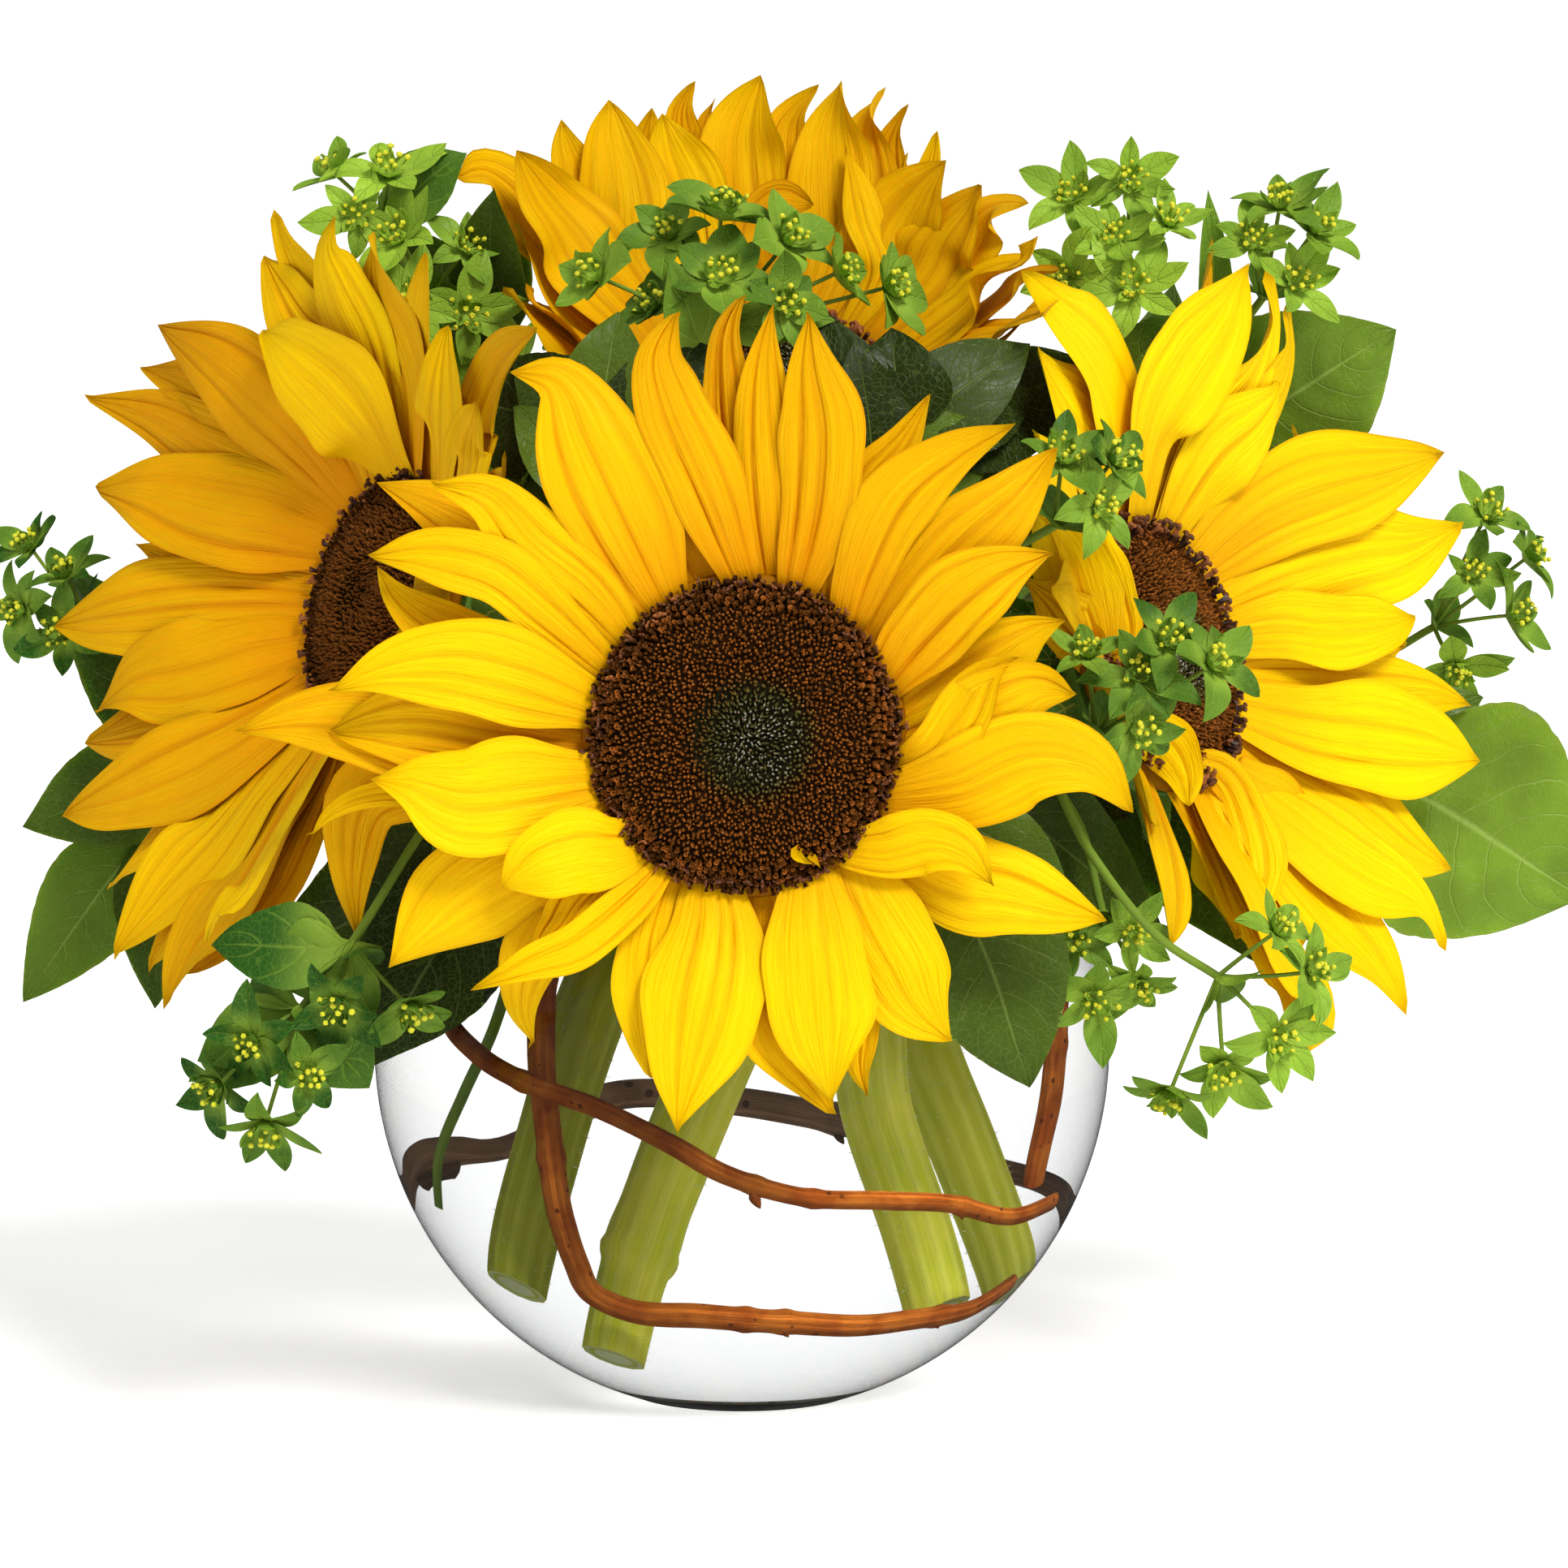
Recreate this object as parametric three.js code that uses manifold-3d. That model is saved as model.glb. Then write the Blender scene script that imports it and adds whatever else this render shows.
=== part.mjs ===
// Four sunflowers with willow twigs, bupleurum sprays and broad leaves in a round glass bowl of water.
// Millimetres, +Z up, +X to the viewer's right, -Y towards the viewer. The origin is the middle of the
// bowl's flat underside.
import * as THREE from "three";
import { mergeVertices } from "three/addons/utils/BufferGeometryUtils.js";
import Module from "manifold-3d";

const wasm = await Module();
wasm.setup();

// ---------------------------------------------------------------- driving dimensions

const GAP = 0.3; // clearance between pieces that touch

const BOWL_RADIUS = 76.2; // a 6 inch ball of glass
const BOWL_CENTRE = 72.6; // height of the ball's centre: the lost 3.6 mm are the flat underside
const BOWL_WALL = 2.5;
const BOWL_FLOOR = 4.5;
const BOWL_NECK = 46; // inner radius of the mouth
const BOWL_SIDES = 24;
const WATER_LEVEL = 105;

const RAY_THICKNESS = 1;
const BRACT_THICKNESS = 1;
const LEAF_THICKNESS = 0.8;
const BRACTS = 9; // behind each bloom, in two rows
const RING_INSET = 6; // the ring that carries the ray petals runs this far in under the disc
const RING_OUTSET = 3;
const RING_FRONT = 1.6;
const RING_BACK = -2.2;

const SUNFLOWER_STEM_SIDES = 8;
const SUNFLOWER_STEM_STEPS = 10;
const TWIG_SIDES = 5;
const THIN_STEM_SIDES = 4;
const SPRAY_STEM_RADIUS = 1.2;
const PEDICEL_RADIUS = 0.6;
const LEAF_STEM_RADIUS = 1.4;
const STAR_SIZE = 7; // from the middle of a bupleurum head to the tip of a bract

// Each bloom: the middle of its ring of petals, the way it faces, which way is up on it, and its petals
// as [angle, length, width, lift] in millimetres and degrees, in order round the disc. The angle is the
// tip's, counter-clockwise from the bloom's own right, and the lift is above the plane of the ring.
const BLOOMS = {
  front: {
    centre: [1, -81, 145],
    facing: [0.02, -0.99, 0.07],
    up: [0, 0, 1],
    disc: 30,
    dome: 5,
    bulge: 3,
    bractLift: -14,
    bractLength: 26,
    lowBractLength: 15, // they hang over the bowl's shoulder
    seed: 1,
    rays: [
      [178, 52, 19, 5], [155, 51, 15, 2], [153, 53, 12, 7], [145, 59, 16, 2], [123, 56, 23, 4],
      [113, 55, 14, 0], [98, 56, 17, 6], [89, 58, 15, 0], [86, 56, 18, 6], [79, 55, 14, 0],
      [61, 48, 14, 5], [49, 52, 19, 1], [43, 56, 18, 5], [30, 43, 15, 0], [19, 39, 15, 6],
      [7, 38, 17, 1], [-12, 50, 19, 5], [-27, 51, 17, -1], [-33, 30, 15, 9], [-56, 45, 16, -1],
      [-68, 44, 15, 4], [-78, 50, 20, 0], [-99, 50, 22, 5], [-108, 45, 14, -1], [-124, 47, 16, 4],
      [-137, 45, 15, -1], [-147, 54, 18, 4], [-152, 28, 15, 0], [-167, 60, 15, 5], [-172, 46, 20, 0],
      [-179, 70, 15, 3],
    ],
  },
  left: {
    centre: [-72, -11, 165],
    facing: [-0.819, -0.504, 0.272],
    up: [0, 0, 1],
    disc: 26,
    dome: 5,
    bulge: 4,
    bractLift: 0,
    bractLength: 26,
    lowBractLength: 26,
    seed: 2,
    rays: [
      [176, 54, 17, 29], [170, 72, 17, 24], [161, 77, 17, 25], [153, 70, 16, 29], [147, 72, 18, 24],
      [131, 44, 18, 30], [124, 59, 15, 24], [115, 64, 16, 25], [105, 57, 15, 28], [95, 52, 15, 24],
      [80, 48, 14, 22], [62, 45, 16, 24], [50, 54, 17, 16], [38, 32, 14, 24], [22, 40, 15, 26],
      [2, 33, 14, 48], [-20, 33, 14, 48], [-45, 40, 15, 34], [-66, 57, 17, 12], [-80, 52, 15, 22],
      [-88, 58, 14, 28], [-94, 70, 16, 24], [-103, 66, 15, 28], [-111, 69, 17, 24], [-121, 62, 16, 28],
      [-139, 68, 18, 24], [-150, 60, 15, 29], [-157, 60, 17, 25], [-169, 72, 18, 24],
    ],
  },
  right: {
    centre: [84, -7, 154],
    facing: [0.823, -0.505, 0.26],
    up: [0, 0, 1],
    disc: 27,
    dome: 5,
    bulge: 4,
    bractLift: -4,
    bractLength: 26,
    lowBractLength: 26,
    seed: 3,
    rays: [
      [180, 32, 14, 40], [163, 36, 15, 27], [145, 32, 15, 22], [133, 38, 15, 18], [115, 44, 16, 9],
      [105, 57, 18, 11], [90, 52, 15, 16], [77, 63, 16, 25], [70, 61, 14, 29], [64, 62, 16, 24],
      [48, 54, 15, 28], [37, 46, 15, 23], [19, 75, 19, 25], [9, 73, 20, 28], [-1, 56, 16, 23],
      [-9, 48, 15, 29], [-16, 68, 17, 23], [-23, 70, 20, 28], [-42, 64, 18, 25], [-54, 68, 18, 28],
      [-65, 56, 16, 23], [-72, 66, 16, 28], [-86, 58, 16, 24], [-94, 54, 15, 28], [-104, 67, 16, 24],
      [-116, 54, 17, 15], [-126, 48, 15, 19], [-142, 30, 15, 27], [-160, 32, 14, 40],
    ],
  },
  top: {
    centre: [5, 14, 208],
    facing: [0, -0.5, 0.866],
    up: [0, 1, 0],
    disc: 23,
    dome: 5,
    bulge: -4,
    bractLift: 14,
    bractLength: 26,
    lowBractLength: 26,
    seed: 4,
    rays: [
      [183, 40, 16, 41], [171, 61, 19, 48], [152, 54, 18, 50], [135, 54, 17, 46], [124, 55, 17, 50],
      [113, 48, 15, 45], [105, 54, 15, 51], [98, 50, 15, 46], [91, 54, 16, 50], [80, 53, 16, 46],
      [75, 55, 15, 51], [70, 43, 13, 55], [64, 55, 15, 46], [58, 52, 16, 51], [51, 49, 15, 46],
      [44, 44, 15, 51], [31, 44, 18, 47], [18, 49, 18, 50], [4, 47, 18, 46], [-2, 49, 16, 37],
      [-15, 44, 16, 35], [-35, 38, 16, 45], [-60, 28, 15, 50], [-90, 26, 16, 46], [-118, 30, 15, 50],
      [-138, 36, 15, 44], [-157, 37, 16, 40],
    ],
  },
};

// Each sunflower stem, from its cut end in the water to the back of its bloom.
const SUNFLOWER_STEMS = {
  front: {
    radius: 6.2,
    points: [[-43, -34, 31], [-34.5, -29.5, 56], [-24, -23, 86], [-14, -24, 106], [-6, -30, 123],
      [-2.5, -38, 136], [0, -50, 142.5]],
  },
  right: {
    radius: 6,
    points: [[-24.5, -34, 17], [-19, -31, 36], [-15.5, -28, 46], [-1.5, -20, 78.5], [10, -18, 98],
      [24, -12, 117], [36, 1, 135], [55, 8, 145.5]],
  },
  left: {
    radius: 5.8,
    points: [[34.5, -18, 28], [29, -16, 44], [21.5, -10, 64], [19.5, -6, 79], [11, 2, 98],
      [-6, 8, 118], [-26, 9, 138], [-45, 5.5, 155]],
  },
  top: {
    radius: 5,
    points: [[41.5, 10, 33], [36.8, 10, 45.2], [32.4, 10, 57], [26.5, 12, 72.5], [23, 20, 98],
      [17, 26, 120], [10, 30, 145], [6, 28, 172]],
  },
};

// Each willow twig lies round the inside of the bowl. A bud is [share along the twig, size].
const TWIGS = {
  front_high: {
    radius: 2,
    points: [[-42, -24, 119], [-53, -32, 98], [-55, -41, 78], [-41.2, -54.9, 73.5], [-26.5, -62.7, 69],
      [-12.7, -66.2, 62.7], [-2.9, -66.4, 57.3], [11.8, -64.3, 52.8], [27.4, -58.8, 51.4],
      [40.2, -51, 49.5], [51.5, -36.6, 44.6], [58.9, -20.6, 45.5]],
    buds: [[0.55, 2.2], [0.83, 1.6]],
  },
  front_low: {
    radius: 2.8,
    points: [[-32, -28, 117], [-36, -39, 100], [-37, -47, 79], [-36, -52.5, 63], [-34.3, -51.9, 47],
      [-31.1, -48.9, 37.1], [-28.4, -46, 31.9], [-20.5, -46.6, 28.4], [-7.1, -49.9, 28],
      [7.6, -48.7, 26.6], [22.3, -42.6, 24.7], [33.9, -35.2, 25], [44, -23.5, 26], [49.9, -13.7, 30]],
    buds: [[0.7, 2.6], [0.88, 2.2]],
  },
  back: {
    radius: 2.2,
    points: [[-40, 27, 117], [-49, 34, 97], [-49, 46, 70], [-39, 55, 57], [-28.6, 59, 52],
      [-15.8, 64, 56.7], [-1.5, 65.6, 55.8], [8.9, 64.8, 54.3], [19.7, 62.1, 52.3], [27.6, 58.1, 49.8],
      [41.4, 48.3, 49.4]],
    buds: [[0.5, 1.8], [0.78, 1.6]],
  },
  right_upright: {
    radius: 3,
    points: [[41, -16, 124], [50, -22, 110], [59, -26, 88], [59, -31, 70], [56.5, -33, 57],
      [55, -30.5, 51]],
    buds: [[0.55, 2.4]],
  },
};

// ---------------------------------------------------------------- placing things

const vec = (p) => new THREE.Vector3(p[0], p[1], p[2]);
const radians = THREE.MathUtils.degToRad;

// A repeatable draw between 0 and 1.
function draw(index, seed) {
  const x = Math.sin(index * 12.9898 + seed * 78.233) * 43758.5453;
  return x - Math.floor(x);
}

// A point by its compass angle round the bowl, its distance from the bowl's axis and its height.
function around(angle, radius, height) {
  return [radius * Math.cos(radians(angle)), radius * Math.sin(radians(angle)), height];
}

// A thin stem stands in the water near the wall, comes up through the mouth and bends over the rim.
function throughMouth(angle) {
  return [around(angle, 44, 93), around(angle, 40.5, 130), around(angle, 46, 143)];
}

// ---------------------------------------------------------------- solids

function solid(geometry) {
  const bare = geometry.clone();
  bare.deleteAttribute("normal");
  bare.deleteAttribute("uv");
  const merged = mergeVertices(bare, 1e-4);
  const mesh = new wasm.Mesh({
    numProp: 3,
    vertProperties: new Float32Array(merged.attributes.position.array),
    triVerts: new Uint32Array(merged.index.array),
  });
  return new wasm.Manifold(mesh);
}

function joined(solids) {
  return solids.reduce((whole, piece) => whole.add(piece));
}

function geometryOf(body) {
  const mesh = body.getMesh();
  const geometry = new THREE.BufferGeometry();
  geometry.setAttribute("position", new THREE.BufferAttribute(mesh.vertProperties, 3));
  geometry.setIndex(new THREE.BufferAttribute(mesh.triVerts, 1));
  geometry.computeVertexNormals();
  return geometry;
}

function indexed(points, faces) {
  const geometry = new THREE.BufferGeometry();
  geometry.setFromPoints(points);
  geometry.setIndex(faces.flat());
  return geometry;
}

// A round bar of so many sides along a smooth curve through the points.
function bar(points, radius, sides, steps) {
  const ring = [];
  for (let k = 0; k < sides; k++) {
    const angle = (2 * Math.PI * k) / sides;
    ring.push(new THREE.Vector2(radius * Math.cos(angle), radius * Math.sin(angle)));
  }
  const curve = new THREE.CatmullRomCurve3(points.map(vec));
  return new THREE.ExtrudeGeometry(new THREE.Shape(ring), {
    steps,
    extrudePath: curve,
    bevelEnabled: false,
  });
}

// A turned body: the profile's points are [radius, height] and the axis is Z.
function turned(profile, sides) {
  const points = profile.map(([radius, height]) => new THREE.Vector2(radius, height));
  return new THREE.LatheGeometry(points, sides).rotateX(Math.PI / 2);
}

// ---------------------------------------------------------------- blades: petals, bracts and leaves

const petalOutline = (s) =>
  s < 0.45 ? 0.28 + 0.72 * Math.sin((s / 0.45) * Math.PI / 2) : 1 - ((s - 0.45) / 0.55) ** 2.1;
const bractOutline = (s) => (1 - s) ** 0.8;
const leafOutline = (s) =>
  s < 0.4 ? 0.12 + 0.88 * Math.sin((s / 0.4) * Math.PI / 2) : 1 - ((s - 0.4) / 0.6) ** 1.7;

// A pointed blade on a curved midrib. Each cross-section is a flat kite with sharp edges, and both
// faces are split along the same diagonals.
function blade({ from, bend, to, face, width, stations, outline, thickness, fold = 0, wave = 0 }) {
  const midrib = new THREE.QuadraticBezierCurve3(from, bend, to);
  const points = [];
  for (const [index, s] of stations.entries()) {
    const centre = midrib.getPoint(s);
    const along = midrib.getTangent(s);
    const across = along.clone().cross(face).normalize();
    const out = across.clone().cross(along).normalize();
    const half = (width / 2) * outline(s);
    const edge = half * fold;
    const ripple = (index % 2 ? 1 : -1) * wave;
    const at = (x, z) => centre.clone().addScaledVector(across, x).addScaledVector(out, z);
    points.push(at(-half, edge + ripple), at(0, thickness / 2));
    points.push(at(half, edge - ripple), at(0, -thickness / 2));
  }
  points.push(to.clone());
  const faces = [[0, 3, 2], [0, 2, 1]];
  const last = stations.length - 1;
  for (let i = 0; i < last; i++) {
    const [l, t, r, b] = [0, 1, 2, 3].map((k) => 4 * i + k);
    const [l2, t2, r2, b2] = [4, 5, 6, 7].map((k) => 4 * i + k);
    faces.push([l, t, t2], [l, t2, l2], [t, r, t2], [r, r2, t2]);
    faces.push([l, b2, b], [l, l2, b2], [b, b2, r], [r, b2, r2]);
  }
  const [l, t, r, b] = [0, 1, 2, 3].map((k) => 4 * last + k);
  const tip = points.length - 1;
  faces.push([l, t, tip], [t, r, tip], [r, b, tip], [b, l, tip]);
  return indexed(points, faces);
}

const FRONT_RAY_STATIONS = [0, 0.34, 0.72];
const BACK_RAY_STATIONS = [0, 0.5];
const BRACT_STATIONS = [0, 0.45];
const LEAF_STATIONS = [0, 0.2, 0.5, 0.8];

// ---------------------------------------------------------------- sunflowers

const FACE_ON = new THREE.Vector3(0, 0, 1);

function ringPoint(radius, angle, height) {
  return new THREE.Vector3(
    radius * Math.cos(radians(angle)),
    radius * Math.sin(radians(angle)),
    height,
  );
}

// The petals' roots share the ring evenly, and each tip leans to its own side.
function rootAngle(bloom, index) {
  const share = bloom.rays[0][0] - (360 * index) / bloom.rays.length;
  const tip = bloom.rays[index][0];
  return (share + tip) / 2;
}

// A petal that lifts more than its two neighbours lies in front of them.
function isFrontRow(bloom, index) {
  const count = bloom.rays.length;
  const before = bloom.rays[(index + count - 1) % count][3];
  const after = bloom.rays[(index + 1) % count][3];
  return bloom.rays[index][3] > (before + after) / 2;
}

function rayPetal(bloom, index) {
  const [angle, length, width, lift] = bloom.rays[index];
  const root = rootAngle(bloom, index);
  const reach = bloom.disc + 1 + length * Math.cos(radians(lift));
  const rise = length * Math.sin(radians(lift));
  const front = isFrontRow(bloom, index);
  const base = front ? 1.1 : -1.3;
  const bulge = bloom.bulge + 1.2 * draw(index, bloom.seed + 10);
  const middle = (bloom.disc + 1 + reach) / 2;
  return blade({
    from: ringPoint(bloom.disc + 1, root, base),
    bend: ringPoint(middle, root, base + rise / 2 + bulge),
    to: ringPoint(reach, angle, base + rise),
    face: FACE_ON,
    width,
    stations: front ? FRONT_RAY_STATIONS : BACK_RAY_STATIONS,
    outline: petalOutline,
    thickness: RAY_THICKNESS,
    fold: front ? 0.16 : 0.05,
  });
}

function rayRing(bloom) {
  const inner = bloom.disc - RING_INSET;
  const outer = bloom.disc + RING_OUTSET;
  const section = [[inner, RING_BACK], [outer, RING_BACK], [outer, RING_FRONT], [inner, RING_FRONT]];
  return turned([...section, section[0]], 12);
}

function rayPetals(bloom) {
  const petals = bloom.rays.map((_, index) => solid(rayPetal(bloom, index)));
  return geometryOf(joined([solid(rayRing(bloom)), ...petals]));
}

// The disc is a low dome with a sunk middle, raised in florets that spiral round it.
function discHeight(bloom, share) {
  const dome = bloom.dome * (1 - share ** 2.6);
  const hollow = 2.2 * Math.exp(-((share / 0.28) ** 2));
  return 2.2 + dome - hollow;
}

function floretDisc(bloom) {
  const RINGS = 4;
  const AROUND = 18;
  const floor = RING_FRONT + GAP;
  const rim = bloom.disc - 0.2;
  const points = [new THREE.Vector3(0, 0, discHeight(bloom, 0))];
  for (let ring = 1; ring <= RINGS; ring++) {
    const share = ring / RINGS;
    for (let k = 0; k < AROUND; k++) {
      const angle = (360 * (k + ring * 0.5)) / AROUND;
      const floret = (k + ring) % 2 ? 0.6 : -0.4;
      points.push(ringPoint(rim * share, angle, discHeight(bloom, share) + floret));
    }
  }
  const lastTop = points.length - AROUND;
  for (let k = 0; k < AROUND; k++) {
    const { x, y } = points[lastTop + k];
    points.push(new THREE.Vector3(x, y, floor));
  }
  points.push(new THREE.Vector3(0, 0, floor));
  const faces = [];
  const next = (k) => (k + 1) % AROUND;
  for (let k = 0; k < AROUND; k++) faces.push([0, 1 + k, 1 + next(k)]);
  for (let ring = 0; ring < RINGS; ring++)
    for (let k = 0; k < AROUND; k++) {
      const inner = 1 + ring * AROUND;
      const outer = inner + AROUND;
      faces.push([inner + k, outer + k, inner + next(k)]);
      faces.push([inner + next(k), outer + k, outer + next(k)]);
    }
  const under = 1 + RINGS * AROUND;
  for (let k = 0; k < AROUND; k++) faces.push([points.length - 1, under + next(k), under + k]);
  return indexed(points, faces);
}

// The green cup behind the petals, with two rows of pointed bracts.
function receptacle(bloom) {
  const rim = bloom.disc + 1.5;
  const top = RING_BACK - GAP;
  const cup = [[rim, top], [rim, top - 2.4], [rim * 0.72, top - 7], [8, top - 12], [0, top - 13]];
  return turned([[0, top], ...cup].reverse(), 10);
}

function bract(bloom, index) {
  const backRow = index % 2;
  const angle = (360 * index) / BRACTS + 6 * draw(index, bloom.seed + 20);
  const lift = bloom.bractLift - 12 * backRow;
  const longest = Math.sin(radians(angle)) < -0.2 ? bloom.lowBractLength : bloom.bractLength;
  const length = longest * (1 - 0.2 * draw(index, bloom.seed + 21));
  const root = bloom.disc - 1 - 5 * backRow;
  const height = RING_BACK - GAP - 1.4 - 2.2 * backRow;
  const reach = root + length * Math.cos(radians(lift));
  const rise = length * Math.sin(radians(lift));
  return blade({
    from: ringPoint(root, angle, height),
    bend: ringPoint((root + reach) / 2, angle, height + rise / 2 - 1),
    to: ringPoint(reach, angle + 6, height + rise),
    face: FACE_ON,
    width: 12,
    stations: BRACT_STATIONS,
    outline: bractOutline,
    thickness: BRACT_THICKNESS,
  });
}

function bloomMatrix(bloom) {
  const facing = vec(bloom.facing).normalize();
  const right = vec(bloom.up).cross(facing).normalize();
  const up = facing.clone().cross(right);
  return new THREE.Matrix4().makeBasis(right, up, facing).setPosition(vec(bloom.centre));
}

function sunflowerStemPoints(name) {
  const bloom = BLOOMS[name];
  const back = vec([0, 0, -11]).applyMatrix4(bloomMatrix(bloom));
  return [...SUNFLOWER_STEMS[name].points, back.toArray()];
}

function sunflowerGreen(name) {
  const bloom = BLOOMS[name];
  const place = bloomMatrix(bloom);
  const pieces = [solid(receptacle(bloom).applyMatrix4(place))];
  for (let k = 0; k < BRACTS; k++) pieces.push(solid(bract(bloom, k).applyMatrix4(place)));
  const { radius } = SUNFLOWER_STEMS[name];
  pieces.push(solid(bar(sunflowerStemPoints(name), radius, SUNFLOWER_STEM_SIDES, SUNFLOWER_STEM_STEPS)));
  return geometryOf(joined(pieces));
}

// ---------------------------------------------------------------- willow

const twigSteps = (points) => Math.round(1.25 * points.length);

// The twig's bar and its buds, or the room they take when they are made thicker.
function twigSolids({ points, radius, buds }, thicker) {
  const pieces = [solid(bar(points, radius + thicker, TWIG_SIDES, twigSteps(points)))];
  const curve = new THREE.CatmullRomCurve3(points.map(vec));
  for (const [share, size] of buds) {
    const spot = curve.getPoint(share);
    const bud = new THREE.OctahedronGeometry(size + 1.8 * thicker).scale(1, 1, 1.4);
    pieces.push(solid(bud.translate(spot.x, spot.y, spot.z + radius * 0.6)));
  }
  return joined(pieces);
}

// ---------------------------------------------------------------- bupleurum

// A head on its stalk: five pointed bracts in a shallow star round a knob of small florets. It is one
// skin, wound round its middle line from the foot of the stalk to the top of the knob.
function starHead(fork, centre, towards, index, seed) {
  const stalk = centre.clone().sub(fork).normalize();
  const axis = stalk.clone().addScaledVector(towards, 0.8).normalize();
  const side = new THREE.Vector3(0.3, 0.2, 1).cross(axis).normalize();
  const over = axis.clone().cross(side);
  const size = STAR_SIZE * (0.85 + 0.3 * draw(index, seed));
  const turn = 72 * draw(index, seed + 1);
  const spot = (origin, angle, radius, height) =>
    origin
      .clone()
      .addScaledVector(side, radius * Math.cos(radians(turn + angle)))
      .addScaledVector(over, radius * Math.sin(radians(turn + angle)))
      .addScaledVector(axis, height);
  const foot = fork.clone().addScaledVector(stalk, 0.9);
  const points = [];
  for (let k = 0; k < 5; k++) {
    const notch = 72 * k + 36;
    points.push(
      spot(foot, notch, 0.55 * PEDICEL_RADIUS, 0),
      spot(centre, notch, PEDICEL_RADIUS, -1.4),
      spot(centre, notch, 0.57 * size, 0.4),
      spot(centre, notch + 36, size, 0.3 * size),
    );
  }
  points.push(spot(centre, 0, 0, 3));
  const top = points.length - 1;
  const faces = [[0, 8, 4], [0, 12, 8], [0, 16, 12]];
  for (let k = 0; k < 5; k++) {
    const [end, under, low, tip] = [0, 1, 2, 3].map((row) => 4 * k + row);
    const [end2, under2, low2] = [0, 1, 2].map((row) => 4 * ((k + 1) % 5) + row);
    faces.push([end, end2, under2], [end, under2, under]);
    faces.push([under, under2, tip], [under, tip, low], [under2, low2, tip]);
    faces.push([low, tip, top], [tip, low2, top]);
  }
  return solid(indexed(points, faces));
}

function broadLeaf(start, { to, face, width, sag = 3 }, fold) {
  const end = vec(to);
  const out = vec(face).normalize();
  const bend = start.clone().add(end).multiplyScalar(0.5).addScaledVector(out, sag);
  return blade({
    from: start,
    bend,
    to: end,
    face: out,
    width,
    stations: LEAF_STATIONS,
    outline: leafOutline,
    thickness: LEAF_THICKNESS,
    fold,
    wave: width > 20 ? 0.5 : 0,
  });
}

const thinSteps = (stem) => Math.round(1.1 * stem.length);

function thinBar(stem, radius) {
  return solid(bar(stem, radius, THIN_STEM_SIDES, thinSteps(stem)));
}

// The middle of the thin bar's section that is nearest to a point of its stem. What grows there starts
// inside the bar.
function rootOn(stem, node) {
  const sections = new THREE.CatmullRomCurve3(stem.map(vec)).getSpacedPoints(thinSteps(stem));
  const wanted = vec(stem[node]);
  return sections.reduce((a, b) => (a.distanceTo(wanted) < b.distanceTo(wanted) ? a : b));
}

// Each umbel forks at one of its stem's points, and each leaf grows from one.
function spray({ stem, umbels, leaves = [], seed }) {
  const pieces = [thinBar(stem, SPRAY_STEM_RADIUS)];
  for (const [which, { node, towards, heads }] of umbels.entries()) {
    const fork = rootOn(stem, node);
    const knuckle = new THREE.OctahedronGeometry(2).translate(fork.x, fork.y, fork.z);
    pieces.push(solid(knuckle));
    for (const [index, head] of heads.entries())
      pieces.push(starHead(fork, vec(head), vec(towards), index, seed + 7 * which));
  }
  for (const leaf of leaves) pieces.push(solid(broadLeaf(rootOn(stem, leaf.node), leaf, 0.15)));
  return geometryOf(joined(pieces));
}

function leafyStem({ stem, leaves }) {
  const pieces = [thinBar(stem, LEAF_STEM_RADIUS)];
  for (const leaf of leaves) pieces.push(solid(broadLeaf(rootOn(stem, leaf.node), leaf, 0.12)));
  return geometryOf(joined(pieces));
}

const VIEWER = [0.1, -1, 0.3];
const BEHIND = [0, 1, 0.3];

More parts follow.
